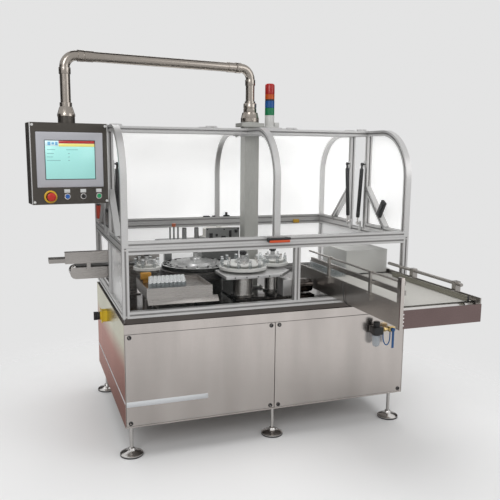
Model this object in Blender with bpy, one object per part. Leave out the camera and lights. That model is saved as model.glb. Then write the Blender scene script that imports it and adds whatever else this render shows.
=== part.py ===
"""Rotary labelling machine: a stainless cabinet on levelling feet, a glazed guard with two
gull-wing hoods on gas struts, a swivelling operator panel, a turntable, two starwheels, a label
dispenser, an infeed belt on the left and a wide collecting conveyor at the front right.

Plan axes while modelling: X along the front, Y from the cabinet's front face to the back, Z up
from the floor. The root empty then carries the whole machine so that the middle of its footprint
lies on the world's origin.
"""

import math

import bpy
import bmesh
from mathutils import Matrix, Vector

# ---- driving dimensions, in metres -------------------------------------------------------------
HALF_WIDTH = 0.750          # cabinet and guard, half of the length along the front
CABINET_DEPTH = 1.048
CABINET_BOTTOM = 0.165
CABINET_TOP = 0.666
RIM_HEIGHT = 0.046          # folded band round the cabinet's top
SHEET = 0.003               # cabinet sheet steel
TABLE_BOTTOM = 0.6663
TABLE_TOP = 0.694
PROFILE = 0.030             # slotted aluminium profile, square
SLOT = 0.008
SLOT_DEPTH = 0.005
GUARD_BOTTOM = 0.6945
GUARD_TOP = 1.0195          # top of the fixed lower guard
GUARD_REAR = CABINET_DEPTH - 0.014   # outer face of the guard's rear
MID_Y = GUARD_REAR / 2      # plane of the column, half way through the guard
FRONT_POST_X = 0.115        # posts between a clear window and an open bay
LEFT_POST_Y = 0.467
RIGHT_POST_Y = 0.430
HOOD_BOTTOM = 1.0202
BEAM_TOP = 1.578
ARCH_RADIUS = 0.260         # outside radius of the hood's bend
COLUMN_X = 0.041
COLUMN_SIZE = 0.080
RAIL_OFFSET = 0.0555        # fixed top rails' centre lines, from MID_Y
HINGE_OFFSET = 0.07075      # hinge axes, from MID_Y
HINGE_Z = 1.5837
HINGE_XS = (0.050 - HALF_WIDTH, -0.200, 0.260, HALF_WIDTH - 0.050)
BARREL = 0.0055             # hinge barrel, outside radius
PIN = 0.0024
PIN_BORE = 0.0027           # the flats of its eight sides still clear the turned pin
HALF_FLAT = math.radians(22.5)
POST_OFFSET = 0.0980        # hood end posts' centre lines, from MID_Y
RIB_X = 0.003               # middle arch of each hood
GLAZING = 0.003
STRUT_X = HALF_WIDTH - 0.050
STRUT_BODY = 0.011
STRUT_ROD = 0.004
STRUT_TOP_Z = 1.390
STRUT_FOOT = (0.0570, 1.046)   # offset from MID_Y and height of the lower pins
STRUT_TOP_OFFSET = 0.0900
ARM_RADIUS = 0.024
ARM_LENGTH = 0.993
ARM_PIVOT_Z = BEAM_TOP + 0.0383      # where the arm's riser turns on the column's head
ARM_RISE = 0.2837           # from there to the tube's centre line
ARM_Z = ARM_PIVOT_Z + ARM_RISE
ARM_TURN = math.radians(8.0)   # rest position of the panel arm
PANEL_SIZE = (0.365, 0.110, 0.383)
PANEL_MID_Z = ARM_Z - 0.509
DECK_Z = 0.8245             # underside of the turntable's deck
PLATE_TOP = 0.8340          # support plate of the starwheels
WHEEL_Z = PLATE_TOP + 0.018
TURNTABLE = (-0.268, 0.527)
STATIONS = 16               # carriers on the turntable, and the pockets of the starwheels
POCKETS = (12, 8, 6)
WHEEL_1 = (-0.074, 0.285)
WHEEL_2 = (0.125, 0.362)
WHEEL_3 = (-0.562, 0.408)
INFEED_Y = (0.500, 0.612)
OUTFEED_X = (0.312, 0.716)
OUTFEED_Y = (-0.630, 0.450)
POT_RADIUS = 0.196          # turntable's bearing pot, and its foot
POT_FOOT_RADIUS = 0.150
RUNNING_GAP = 0.0003        # between pieces that seat on each other

MATERIALS = {
    "stainless": ((0.62, 0.60, 0.58), 0.32, 1.0),
    "aluminium": ((0.66, 0.67, 0.69), 0.38, 1.0),
    "chrome": ((0.80, 0.80, 0.80), 0.12, 1.0),
    "black_anodised": ((0.03, 0.03, 0.03), 0.45, 0.6),
    "black_plastic": ((0.02, 0.02, 0.02), 0.40, 0.0),
    "white_plastic": ((0.85, 0.85, 0.83), 0.35, 0.0),
    "belt_cream": ((0.72, 0.70, 0.62), 0.60, 0.0),
    "belt_dark": ((0.05, 0.05, 0.05), 0.70, 0.0),
    "clear_sheet": ((0.90, 0.94, 0.96), 0.05, 0.0),
    "grey_paint": ((0.42, 0.42, 0.41), 0.40, 0.2),
    "screen_grey": ((0.35, 0.36, 0.35), 0.45, 0.0),
    "red_plastic": ((0.65, 0.02, 0.02), 0.30, 0.0),
    "blue_plastic": ((0.02, 0.10, 0.55), 0.30, 0.0),
    "green_plastic": ((0.02, 0.40, 0.12), 0.30, 0.0),
    "yellow_plastic": ((0.85, 0.62, 0.02), 0.35, 0.0),
    "paper": ((0.85, 0.84, 0.80), 0.80, 0.0),
}


# ---- geometry helpers --------------------------------------------------------------------------
def clear_scene():
    """Removes every object, so the script can be run again from the editor."""
    for old in list(bpy.data.objects):
        bpy.data.objects.remove(old, do_unlink=True)


def material(name):
    """Returns the named material, made once."""
    found = bpy.data.materials.get(name)
    if found:
        return found
    colour, roughness, metallic = MATERIALS[name]
    made = bpy.data.materials.new(name)
    made.use_nodes = True
    shader = made.node_tree.nodes["Principled BSDF"]
    shader.inputs["Base Color"].default_value = (*colour, 1.0)
    shader.inputs["Roughness"].default_value = roughness
    shader.inputs["Metallic"].default_value = metallic
    made.diffuse_color = (*colour, 1.0)
    return made


def place(axis, along, a, b):
    """A point with its coordinate along the axis and its two others in X, Y, Z order."""
    return {"X": (along, a, b), "Y": (a, along, b), "Z": (a, b, along)}[axis]


def prism(section, axis, start, end):
    """A section of (a, b) points, extruded along an axis."""
    count = len(section)
    verts = [place(axis, start, a, b) for a, b in section]
    verts += [place(axis, end, a, b) for a, b in section]
    faces = [tuple(range(count)), tuple(range(2 * count - 1, count - 1, -1))]
    for i in range(count):
        j = (i + 1) % count
        faces.append((i, j, count + j, count + i))
    return verts, faces


def box(low, high):
    """A plain block between two corners."""
    section = [(low[0], low[1]), (high[0], low[1]), (high[0], high[1]), (low[0], high[1])]
    return prism(section, "Z", low[2], high[2])


def rounded(low, high, radius, axis="Z", steps=4):
    """A block whose four edges along the axis are rounded."""
    keep = {"X": (1, 2), "Y": (0, 2), "Z": (0, 1)}[axis]
    along = "XYZ".index(axis)
    a0, b0 = low[keep[0]], low[keep[1]]
    a1, b1 = high[keep[0]], high[keep[1]]
    section = []
    corners = ((a1 - radius, b1 - radius, 0), (a0 + radius, b1 - radius, 90),
               (a0 + radius, b0 + radius, 180), (a1 - radius, b0 + radius, 270))
    for ca, cb, turn in corners:
        for k in range(steps + 1):
            angle = math.radians(turn + 90 * k / steps)
            section.append((ca + radius * math.cos(angle), cb + radius * math.sin(angle)))
    return prism(section, axis, low[along], high[along])


def circle(centre, radius, segments, turn=0.0):
    """Points round a circle in the section plane."""
    return [(centre[0] + radius * math.cos(turn + math.tau * k / segments),
             centre[1] + radius * math.sin(turn + math.tau * k / segments))
            for k in range(segments)]


def turned(profile, centre, axis="Z", segments=24):
    """A closed body of revolution. The profile is (radius, height) from pole to pole."""
    verts, rings = [], []
    for radius, height in profile:
        if radius < 1e-9:
            verts.append(place(axis, height, centre[0], centre[1]))
            rings.append([len(verts) - 1])
            continue
        ring = []
        for a, b in circle(centre, radius, segments):
            verts.append(place(axis, height, a, b))
            ring.append(len(verts) - 1)
        rings.append(ring)
    faces = []
    for low, high in zip(rings, rings[1:]):
        for k in range(segments):
            n = (k + 1) % segments
            if len(low) == 1:
                faces.append((low[0], high[k], high[n]))
            elif len(high) == 1:
                faces.append((low[k], low[n], high[0]))
            else:
                faces.append((low[k], low[n], high[n], high[k]))
    return verts, faces


def rod(axis, centre, radius, start, end, segments=16):
    """A straight round bar along an axis."""
    return turned([(0, start), (radius, start), (radius, end), (0, end)], centre, axis, segments)


def slotted_square(size=PROFILE, slot=SLOT, depth=SLOT_DEPTH):
    """The section of a square profile with a slot in each side, about its centre."""
    h, s = size / 2, slot / 2
    d = h - depth
    return [(-h, -h), (-s, -h), (-s, -d), (s, -d), (s, -h), (h, -h), (h, -s), (d, -s), (d, s),
            (h, s), (h, h), (s, h), (s, d), (-s, d), (-s, h), (-h, h), (-h, s), (-d, s),
            (-d, -s), (-h, -s)]


def side_slotted(size=PROFILE, slot=SLOT, depth=SLOT_DEPTH):
    """The same profile with slots in two opposite sides only, for the bent lengths."""
    h, s = size / 2, slot / 2
    d = h - depth
    return [(-h, -h), (h, -h), (h, -s), (d, -s), (d, s), (h, s), (h, h), (-h, h), (-h, s),
            (-d, s), (-d, -s), (-h, -s)]


def bar(axis, centre, start, end, outline=None):
    """A length of the slotted profile along an axis."""
    section = [(centre[0] + a, centre[1] + b) for a, b in outline or slotted_square()]
    return prism(section, axis, start, end)


def swept(path, section, x_centre):
    """Sweeps a section along a path in a YZ plane. Section points are (along X, across)."""
    verts, faces = [], []
    count = len(section)
    for k, point in enumerate(path):
        here = Vector(point)
        before = Vector(path[k - 1]) if k else None
        after = Vector(path[k + 1]) if k + 1 < len(path) else None
        enter = (here - before).normalized() if before else (after - here).normalized()
        leave = (after - here).normalized() if after else enter
        tangent = (enter + leave).normalized()
        normal = Vector((-tangent.y, tangent.x)) / max(tangent.dot(enter), 0.5)
        for s, n in section:
            verts.append((x_centre + s, here.x + n * normal.x, here.y + n * normal.y))
    for k in range(len(path) - 1):
        for i in range(count):
            j = (i + 1) % count
            faces.append((k * count + i, k * count + j, (k + 1) * count + j, (k + 1) * count + i))
    faces.append(tuple(range(count)))
    faces.append(tuple(range(len(verts) - 1, len(verts) - count - 1, -1)))
    return verts, faces


def tube_path(path, radius, segments=14):
    """A round bar along a path of 3-D points."""
    points = [Vector(p) for p in path]
    first = (points[1] - points[0]).normalized()
    seed = Vector((0, 0, 1)) if abs(first.z) < 0.9 else Vector((1, 0, 0))
    side = first.cross(seed).normalized()
    verts, faces = [], []
    for k, here in enumerate(points):
        enter = (here - points[k - 1]).normalized() if k else first
        leave = (points[k + 1] - here).normalized() if k + 1 < len(points) else enter
        tangent = (enter + leave).normalized()
        side = (side - tangent * side.dot(tangent)).normalized()
        up = tangent.cross(side)
        for i in range(segments):
            angle = math.tau * i / segments
            verts.append(here + (side * math.cos(angle) + up * math.sin(angle)) * radius)
    for k in range(len(points) - 1):
        for i in range(segments):
            j = (i + 1) % segments
            faces.append((k * segments + i, k * segments + j,
                          (k + 1) * segments + j, (k + 1) * segments + i))
    faces.append(tuple(range(segments)))
    faces.append(tuple(range(len(verts) - 1, len(verts) - segments - 1, -1)))
    return verts, faces


def bend(start, corner, end, radius, steps=5):
    """Points from start to end with the corner between them rounded."""
    a, c, b = Vector(start), Vector(corner), Vector(end)
    u, v = (a - c).normalized(), (b - c).normalized()
    half = u.angle(v) / 2
    reach = radius / math.tan(half)
    centre = c + (u + v).normalized() * (radius / math.sin(half))
    first, last = c + u * reach - centre, c + v * reach - centre
    sweep = first.angle(last)
    points = [a]
    for k in range(steps + 1):
        t = k / steps
        mixed = (first * math.sin((1 - t) * sweep) + last * math.sin(t * sweep)) / math.sin(sweep)
        points.append(centre + mixed)
    points.append(b)
    return points


def raw_object(name, solid, origin=(0.0, 0.0, 0.0)):
    """A mesh object from one (verts, faces) pair, with its faces turned outward."""
    verts, faces = solid
    moved = [Vector(v) - Vector(origin) for v in verts]
    mesh = bpy.data.meshes.new(name)
    mesh.from_pydata(moved, [], faces)
    work = bmesh.new()
    work.from_mesh(mesh)
    bmesh.ops.recalc_face_normals(work, faces=work.faces)
    work.to_mesh(mesh)
    work.free()
    made = bpy.data.objects.new(name, mesh)
    bpy.context.scene.collection.objects.link(made)
    return made


def build(name, look, solids, cuts=(), origin=(0.0, 0.0, 0.0), turn=0.0):
    """Joins the solids, takes the cuts out, and leaves one object with its origin on its joint."""
    made = raw_object(name, solids[0], origin)
    helpers = []
    for operation, group in (("UNION", solids[1:]), ("DIFFERENCE", cuts)):
        for solid in group:
            helper = raw_object("helper", solid, origin)
            helpers.append(helper)
            step = made.modifiers.new("join", "BOOLEAN")
            step.operation = operation
            step.solver = "EXACT"
            step.object = helper
    if helpers:
        graph = bpy.context.evaluated_depsgraph_get()
        joined = bpy.data.meshes.new_from_object(made.evaluated_get(graph))
        made.modifiers.clear()
        made.data = joined
        made.data.name = name
        for helper in helpers:
            bpy.data.objects.remove(helper, do_unlink=True)
    work = bmesh.new()
    work.from_mesh(made.data)
    bmesh.ops.remove_doubles(work, verts=work.verts, dist=1e-6)
    bmesh.ops.dissolve_limit(work, angle_limit=math.radians(0.05), verts=work.verts,
                             edges=work.edges)
    strays = [edge for edge in work.edges if not edge.link_faces]
    bmesh.ops.delete(work, geom=strays, context="EDGES")
    strays = [vert for vert in work.verts if not vert.link_faces]
    bmesh.ops.delete(work, geom=strays, context="VERTS")
    bmesh.ops.recalc_face_normals(work, faces=work.faces)
    work.to_mesh(made.data)
    work.free()
    made.data.materials.clear()
    made.data.materials.append(material(look))
    made.location = origin
    made.rotation_euler.z = turn
    made.parent = ROOT
    return made


def mirrored(solid, plane_y=MID_Y):
    """The same solid on the other side of the machine's middle plane."""
    verts, faces = solid
    return [(v[0], 2 * plane_y - v[1], v[2]) for v in verts], [tuple(reversed(f)) for f in faces]


# ---- cabinet, feet and table -------------------------------------------------------------------
def make_cabinet():
    """Sheet housing, open at the front behind a folded rim, with two lift-off front pans."""
    w, d = HALF_WIDTH, CABINET_DEPTH
    z0, z1, t = CABINET_BOTTOM, CABINET_TOP, SHEET
    seat, back = 0.0205, 0.0235     # front and rear of the flanges behind the pans
    rim = z1 - RIM_HEIGHT
    room = box((-w + t, back, z0 + t), (w - t, d - t, z1 - t))
    recess = box((-w + t, -0.010, z0 + 0.007), (w - t, seat, rim))
    rim_fold = box((-w + t, t, rim + t), (w - t, back + 0.001, z1 - t))
    doorways = [box((-w + 0.030, 0.0, z0 + 0.030), (-0.030, 0.030, rim - 0.020)),
                box((0.030, 0.0, z0 + 0.030), (w - 0.030, 0.030, rim - 0.020))]
    build("cabinet_shell", "stainless", [box((-w, 0.0, z0), (w, d, z1))],
          [room, recess, rim_fold] + doorways)
    for name, x0, x1 in (("cabinet_panel_left", -w + t + 0.0015, -0.0015),
                         ("cabinet_panel_right", 0.0015, w - t - 0.0015)):
        low, high = z0 + 0.0085, rim - 0.0015
        pan = box((x0, 0.0, low), (x1, seat - RUNNING_GAP, high))
        inside = box((x0 + 0.002, 0.002, low + 0.002), (x1 - 0.002, 0.030, high - 0.002))
        studs = [rod("Y", (x, z), 0.0095, -0.003, 0.001, 10)
                 for x in (x0 + 0.020, x1 - 0.020) for z in (low + 0.014, high - 0.014)]
        build(name, "stainless", [pan] + studs, [inside])


def make_feet():
    """Levelling feet: a domed pad on a threaded stem with a lock nut."""
    top = CABINET_BOTTOM - 0.0003
    profile = [(0, 0), (0.0560, 0), (0.0560, 0.010), (0.0460, 0.016), (0.0240, 0.022),
               (0.0160, 0.036), (0.0090, 0.040), (0.0090, 0.146), (0.0160, 0.147),
               (0.0160, top), (0, top)]
    for row, y in (("front", 0.070), ("rear", CABINET_DEPTH - 0.070)):
        for side, x in (("left", 0.036 - HALF_WIDTH), ("mid", 0.018), ("right", HALF_WIDTH - 0.036)):
            build(f"foot_{row}_{side}", "chrome", [turned(profile, (x, y), "Z", 12)])


def make_table():
    """Thick base plate that carries the mechanism, set back a little from the cabinet's edges."""
    low = (0.008 - HALF_WIDTH, 0.008, TABLE_BOTTOM)
    high = (HALF_WIDTH - 0.008, CABINET_DEPTH - 0.022, TABLE_TOP)
    build("table_plate", "black_anodised", [rounded(low, high, 0.012)])


# ---- lower guard -------------------------------------------------------------------------------
def make_guard():
    """Four frames of slotted profile round the table, with clear windows in their slots."""
    w, p, half = HALF_WIDTH, PROFILE, PROFILE / 2
    z0, z1 = GUARD_BOTTOM, GUARD_TOP
    low, high = z0 + half, z1 - half
    rails_x = (-w + p - 0.001, w - p + 0.001)
    for name, y, posts in (("guard_front", half, (-w + half, FRONT_POST_X, w - half)),
                           ("guard_rear", GUARD_REAR - half, (-w + half, w - half))):
        solids = [bar("Z", (posts[0], y), z0, z1)]
        solids += [bar("X", (y, z), *rails_x) for z in (low, high)]
        solids += [bar("Z", (x, y), z0, z1) for x in posts[1:] if abs(x) > 0.5]
        solids += [bar("Z", (x, y), z0 + p - 0.001, z1 - p + 0.001) for x in posts if abs(x) < 0.5]
        build(name, "aluminium", solids)
    rails_y = (p + 0.0004, GUARD_REAR - p - 0.0004)
    for name, x, post_y in (("guard_left", -w + half, LEFT_POST_Y),
                            ("guard_right", w - half, RIGHT_POST_Y)):
        solids = [bar("Y", (x, z), *rails_y) for z in (low, high)]
        solids.append(bar("Z", (x, post_y), z0 + p - 0.001, z1 - p + 0.001))
        for foot_y in (MID_Y - STRUT_FOOT[0], MID_Y + STRUT_FOOT[0]):
            solids.append(strut_foot(x, foot_y))
        build(name, "aluminium", solids)
    make_windows(w, p, half)


def strut_foot(x, y):
    """Angle bracket on the guard's top rail, with the stud that the strut's foot turns on."""
    inner = x - math.copysign(PROFILE / 2, x)
    side = -math.copysign(1, x)
    a, b = sorted((inner - side * 0.004, inner + side * 0.0045))
    plate = box((a, y - 0.012, GUARD_TOP - 0.020), (b, y + 0.012, STRUT_FOOT[1] + 0.012))
    return plate


def make_windows(w, p, half):
    """Polycarbonate sheets, 5 mm thick, with their edges inside the profile's slots."""
    reach = SLOT_DEPTH - 0.0004
    z0 = GUARD_BOTTOM + p - reach
    z1 = GUARD_TOP - p + reach
    t = 0.0025
    build("window_front", "clear_sheet",
          [box((-w + p - reach, half - t, z0), (FRONT_POST_X - half + reach, half + t, z1))])
    y = GUARD_REAR - half
    build("window_rear", "clear_sheet",
          [box((-w + p - reach, y - t, z0), (w - p + reach, y + t, z1))])
    build("window_left", "clear_sheet",
          [box((-w + half - t, p + 0.003, z0), (-w + half + t, LEFT_POST_Y - half + reach, z1))])
    build("window_right", "clear_sheet",
          [box((w - half - t, RIGHT_POST_Y + half - reach, z0),
               (w - half + t, GUARD_REAR - p - 0.003, z1))])


# ---- column, top rails and hinges --------------------------------------------------------------
def make_column():
    """Square tube from the table to the arm's bearing, with a foot flange and a head plate."""
    c, s = COLUMN_X, COLUMN_SIZE / 2
    y = MID_Y
    outer = box((c - s, y - s, TABLE_TOP + 0.0003), (c + s, y + s, BEAM_TOP + 0.012))
    flange = rounded((c - 0.065, y - 0.065, TABLE_TOP + 0.0003),
                     (c + 0.065, y + 0.065, TABLE_TOP + 0.012), 0.012)
    head = rounded((c - 0.065, y - 0.060, BEAM_TOP + 0.0115), (c + 0.065, y + 0.060, BEAM_TOP + 0.0320),
                   0.008)
    boss = rod("Z", (c, y), 0.050, BEAM_TOP + 0.0315, ARM_PIVOT_Z - RUNNING_GAP, 28)
    bore = box((c - s + 0.004, y - s + 0.004, TABLE_TOP - 0.01),
               (c + s - 0.004, y + s - 0.004, BEAM_TOP + 0.008))
    bolts = [rod("Z", (c + dx, y + dy), 0.006, TABLE_TOP + 0.011, TABLE_TOP + 0.019, 6)
             for dx in (-0.053, 0.053) for dy in (-0.053, 0.053)]
    build("column", "grey_paint", [outer, flange, head, boss] + bolts, [bore])


def knuckle(x, y, length):
    """The fixed barrel of a hinge, bored for its pin."""
    ring = prism(circle((y, HINGE_Z), BARREL, 8, HALF_FLAT), "X", x - length / 2, x + length / 2)
    bore = prism(circle((y, HINGE_Z), PIN_BORE, 8, HALF_FLAT), "X", x - length, x + length)
    return ring, bore


def make_top_beam():
    """Two fixed rails either side of the column, tied at both ends, with the hinges' barrels."""
    solids, cuts = [], []
    z = BEAM_TOP - PROFILE / 2
    for side in (-1, 1):
        y = MID_Y + side * RAIL_OFFSET
        solids.append(bar("X", (y, z), -HALF_WIDTH, HALF_WIDTH))
        for x in HINGE_XS:
            axis_y = MID_Y + side * HINGE_OFFSET
            ring, bore = knuckle(x, axis_y, 0.020)
            inner = sorted((axis_y - side * 0.003, axis_y - side * 0.026))
            solids.append(ring)
            solids.append(box((x - 0.0098, inner[0], BEAM_TOP - 0.001),
                              (x + 0.0098, inner[1], BEAM_TOP + 0.003)))
            cuts.append(bore)
    for x in (-HALF_WIDTH + 0.015, HALF_WIDTH - 0.015):
        solids.append(bar("Y", (x, z), MID_Y - RAIL_OFFSET + 0.0145, MID_Y + RAIL_OFFSET - 0.0145))
    solids.append(box((0.102, MID_Y - 0.052, BEAM_TOP - 0.0008),
                      (0.212, MID_Y + 0.052, BEAM_TOP + 0.010)))
    for side in (-1, 1):
        y = MID_Y + side * RAIL_OFFSET
        solids.append(box((COLUMN_X - 0.075, y - 0.0145, BEAM_TOP - PROFILE - 0.008),
                          (COLUMN_X + 0.075, y + 0.0145, BEAM_TOP - PROFILE + 0.001)))
        for dx in (-0.058, 0.058):
            solids.append(rod("Z", (COLUMN_X + dx, y), 0.0065, BEAM_TOP - PROFILE - 0.014,
                              BEAM_TOP - PROFILE - 0.007, 6))
    build("top_beam", "aluminium", solids, cuts)


# ---- hoods -------------------------------------------------------------------------------------
def arch_path(foot_z, seat=0.001, steps=8):
    """Centre line of an arch in the front hood's YZ plane, from inside the hinge rail to the foot."""
    half = PROFILE / 2
    radius = ARCH_RADIUS - half
    path = [(MID_Y - HINGE_OFFSET - RUNNING_GAP - PROFILE + seat, BEAM_TOP - half)]
    for k in range(steps + 1):
        angle = math.radians(90 + 90 * k / steps)
        path.append((ARCH_RADIUS + radius * math.cos(angle),
                     BEAM_TOP - ARCH_RADIUS + radius * math.sin(angle)))
    path.append((half, foot_z))
    return path


def half_rib(side):
    """The half of the slotted section on one side of the sheet that passes through the middle rib."""
    h, s = PROFILE / 2, SLOT / 2
    d = h - SLOT_DEPTH
    g = GLAZING / 2 + RUNNING_GAP
    half = [(-d, g), (d, g), (d, s), (h, s), (h, h), (-h, h), (-h, s), (-d, s)]
    return [(a, side * b) for a, b in half]


def hood_solids():
    """The front hood's frame: hinge rail, foot rail, two arches, a split rib and two braced ends."""
    p, half = PROFILE, PROFILE / 2
    w = HALF_WIDTH
    hinge_y = MID_Y - HINGE_OFFSET - 0.0003 - half
    post_y = MID_Y - POST_OFFSET
    z_top, z_low = BEAM_TOP - half, HOOD_BOTTOM + half
    solids = [bar("X", (hinge_y, z_top), -w, w)]
    solids.append(bar("X", (half, z_low), -w + p - 0.001, w - p + 0.001))
    for side in (-1, 1):
        solids.append(swept(arch_path(z_low + half - 0.001), half_rib(side), RIB_X))
    for x in (-w + half, w - half):
        solids.append(swept(arch_path(HOOD_BOTTOM), side_slotted(), x))
    for x in (-w + half, w - half):
        solids.append(bar("Z", (x, post_y), HOOD_BOTTOM, z_top - half + 0.001, side_slotted()))
        solids.append(bar("Y", (x, z_low), p - 0.001, post_y - half + 0.001, side_slotted()))
        rise = post_y - 0.204
        solids.append(swept([(0.200, z_low + 0.004), (post_y - 0.004, z_low + 0.004 + rise)],
                            side_slotted(), x))
        inner = x - math.copysign(half, x)
        side = -math.copysign(1, x)
        a, b = sorted((inner - side * 0.004, inner + side * 0.0045))
        solids.append(box((a, post_y - 0.012, STRUT_TOP_Z - 0.018),
                          (b, MID_Y - STRUT_TOP_OFFSET + 0.012, STRUT_TOP_Z + 0.018)))
    return solids


def hinge_leaves(side):
    """Leaf, two outer barrels and the pin of each hinge, all on the hood."""
    solids = []
    y = MID_Y + side * HINGE_OFFSET
    for x in HINGE_XS:
        solids.append(prism(circle((y, HINGE_Z), PIN, 8, HALF_FLAT), "X", x - 0.029, x + 0.029))
        for dx in (-0.0205, 0.0205):
            solids.append(prism(circle((y, HINGE_Z), BARREL, 8, HALF_FLAT), "X", x + dx - 0.010,
                                x + dx + 0.010))
            outer = sorted((y + side * 0.003, y + side * 0.026))
            solids.append(box((x + dx - 0.0098, outer[0], BEAM_TOP - 0.001),
                              (x + dx + 0.0098, outer[1], BEAM_TOP + 0.003)))
    return solids


def glazing_solids():
    """The front hood's clear canopy: a bent sheet in the profiles' slots, and a flat sheet in each
    end that stands inside the end frame."""
    p, t = PROFILE, GLAZING
    seat = SLOT_DEPTH - 0.0004
    path = arch_path(HOOD_BOTTOM + p - seat, seat)
    reach = HALF_WIDTH - p + seat
    strip = [(-reach, -t / 2), (reach, -t / 2), (reach, t / 2), (-reach, t / 2)]
    solids = [swept(path, strip, 0.0)]
    rear = MID_Y - POST_OFFSET - p / 2 - RUNNING_GAP
    above_rail, bottom = HOOD_BOTTOM + p + RUNNING_GAP, HOOD_BOTTOM + RUNNING_GAP
    edge = [(rear, path[0][1])] + path[1:-1] + [(p / 2, above_rail), (p + RUNNING_GAP, above_rail),
                                               (p + RUNNING_GAP, bottom), (rear, bottom)]
    inner = HALF_WIDTH - p - RUNNING_GAP
    for side in (-1, 1):
        a, b = sorted((side * inner, side * (inner - t)))
        solids.append(prism(edge, "X", a, b))
    return solids


def make_hoods():
    """Front hood and its mirror image at the rear, each turning on the top rails' hinges."""
    front, clear = hood_solids(), glazing_solids()
    for name, side in (("front", -1), ("rear", 1)):
        flip = (lambda s: s) if side < 0 else mirrored
        pivot = (0.0, MID_Y + side * HINGE_OFFSET, HINGE_Z)
        build(f"hood_{name}_frame", "aluminium",
              [flip(s) for s in front] + hinge_leaves(side), origin=pivot)
        build(f"hood_{name}_glazing", "clear_sheet", [flip(s) for s in clear], origin=pivot)
    pivot = (0.0, MID_Y - HINGE_OFFSET, HINGE_Z)
    grip = [rounded((-0.056, -0.0380, 1.0230), (0.060, -0.0240, 1.0480), 0.005, "X"),
            box((-0.052, -0.0300, 1.0250), (-0.036, -0.0003, 1.0460)),
            box((0.040, -0.0300, 1.0250), (0.056, -0.0003, 1.0460))]
    build("hood_handle", "black_plastic", grip, origin=pivot)


def make_struts():
    """Gas struts: the rod turns on the guard's stud and the cylinder slides on the rod."""
    for name, side in (("front", -1), ("rear", 1)):
        for hand, x in (("left", -STRUT_X), ("right", STRUT_X)):
            foot = Vector((MID_Y + side * STRUT_FOOT[0], STRUT_FOOT[1]))
            top = Vector((MID_Y + side * STRUT_TOP_OFFSET, STRUT_TOP_Z))
            length = (top - foot).length
            lean = math.atan2(top.x - foot.x, top.y - foot.y)
            out = math.copysign(1, x)
            origin = (x, foot.x, foot.y)
            stud = sorted((x + out * 0.004, x + out * 0.0150))
            lower = [rod("X", (0.0, 0.0), 0.009, x - 0.006, x + 0.006, 12),
                     rod("X", (0.0, 0.0), 0.004, *stud, 8),
                     rod("Z", (x, 0.0), STRUT_ROD, 0.004, length - 0.042, 10)]
            body_foot, body_head = 0.034, length - 0.024
            upper = [rod("X", (0.0, length), 0.009, x - 0.006, x + 0.006, 12),
                     rod("X", (0.0, length), 0.004, *stud, 8),
                     turned([(0, body_foot), (0.0090, body_foot), (STRUT_BODY, body_foot + 0.004),
                             (STRUT_BODY, body_head - 0.006), (0.0060, body_head),
                             (0.0060, length - 0.004), (0, length - 0.004)], (x, 0.0), "Z", 12)]
            bore = rod("Z", (x, 0.0), STRUT_ROD + 0.0006, body_foot - 0.010, length - 0.036, 10)
            for part, look, solids, cuts in (("rod", "chrome", lower, ()),
                                             ("cylinder", "black_plastic", upper, (bore,))):
                leaned = [lean_solid(s, lean, origin) for s in solids]
                build(f"strut_{name}_{hand}_{part}", look, leaned,
                      [lean_solid(s, lean, origin) for s in cuts], origin=origin)


def lean_solid(solid, lean, origin):
    """Turns a solid drawn upright at the origin's foot by the lean, and stands it there."""
    verts, faces = solid
    c, s = math.cos(lean), math.sin(lean)
    moved = [(v[0], origin[1] + v[1] * c + v[2] * s, origin[2] - v[1] * s + v[2] * c)
             for v in verts]
    return moved, faces


# ---- operator panel on its arm -----------------------------------------------------------------
def make_panel():
    """Swivelling tube arm, the panel box with its bezel, emergency stop and three buttons."""
    c, y = COLUMN_X, MID_Y
    foot = ARM_PIVOT_Z
    pivot = (c, y, foot)
    riser = turned([(0, foot), (0.0500, foot), (0.0500, foot + 0.0217), (0.0420, foot + 0.0497),
                    (0.0355, foot + 0.0527), (0.0355, foot + 0.0977), (0.0330, foot + 0.1017),
                    (ARM_RADIUS, foot + 0.1027), (ARM_RADIUS, ARM_Z - 0.1000), (0, ARM_Z - 0.1000)],
                   (c, y), "Z", 16)
    end = c - ARM_LENGTH
    top = PANEL_MID_Z + PANEL_SIZE[2] / 2
    path = bend((c, y, ARM_Z - 0.110), (c, y, ARM_Z), (c - 0.400, y, ARM_Z), 0.058)
    path += bend((c - 0.500, y, ARM_Z), (end, y, ARM_Z), (end, y, top + 0.030), 0.058)
    collars = [rod("X", (y, ARM_Z), 0.0275, c - 0.090, c - 0.062, 12),
               rod("X", (y, ARM_Z), 0.0275, end + 0.062, end + 0.090, 12),
               rod("Z", (c, y), 0.0275, ARM_Z - 0.085, ARM_Z - 0.058, 12),
               rod("Z", (end, y), 0.0275, ARM_Z - 0.085, ARM_Z - 0.058, 12)]
    cone = turned([(0, top + 0.0303), (0.0420, top + 0.0303), (0.0420, top + 0.0420),
                   (0.0300, top + 0.0760), (ARM_RADIUS, top + 0.0800), (ARM_RADIUS, top + 0.1000),
                   (0, top + 0.1000)], (end, y), "Z", 16)
    build("hmi_arm", "stainless", [riser, tube_path(path, ARM_RADIUS, 12), cone] + collars,
          origin=pivot, turn=ARM_TURN)
    make_panel_box(end, y, top)


def swing(point):
    """Where a point of the straight arm lies once the arm is turned to its rest position."""
    dx, dy = point[0] - COLUMN_X, point[1] - MID_Y
    c, s = math.cos(ARM_TURN), math.sin(ARM_TURN)
    return (COLUMN_X + dx * c - dy * s, MID_Y + dx * s + dy * c, point[2])


def panel_build(name, look, solids, cuts=(), pivot=None):
    """Builds a piece of the panel in the straight arm's frame and turns it with the arm."""
    made = build(name, look, solids, cuts, origin=pivot, turn=ARM_TURN)
    made.location = swing(pivot)
    return made


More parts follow.
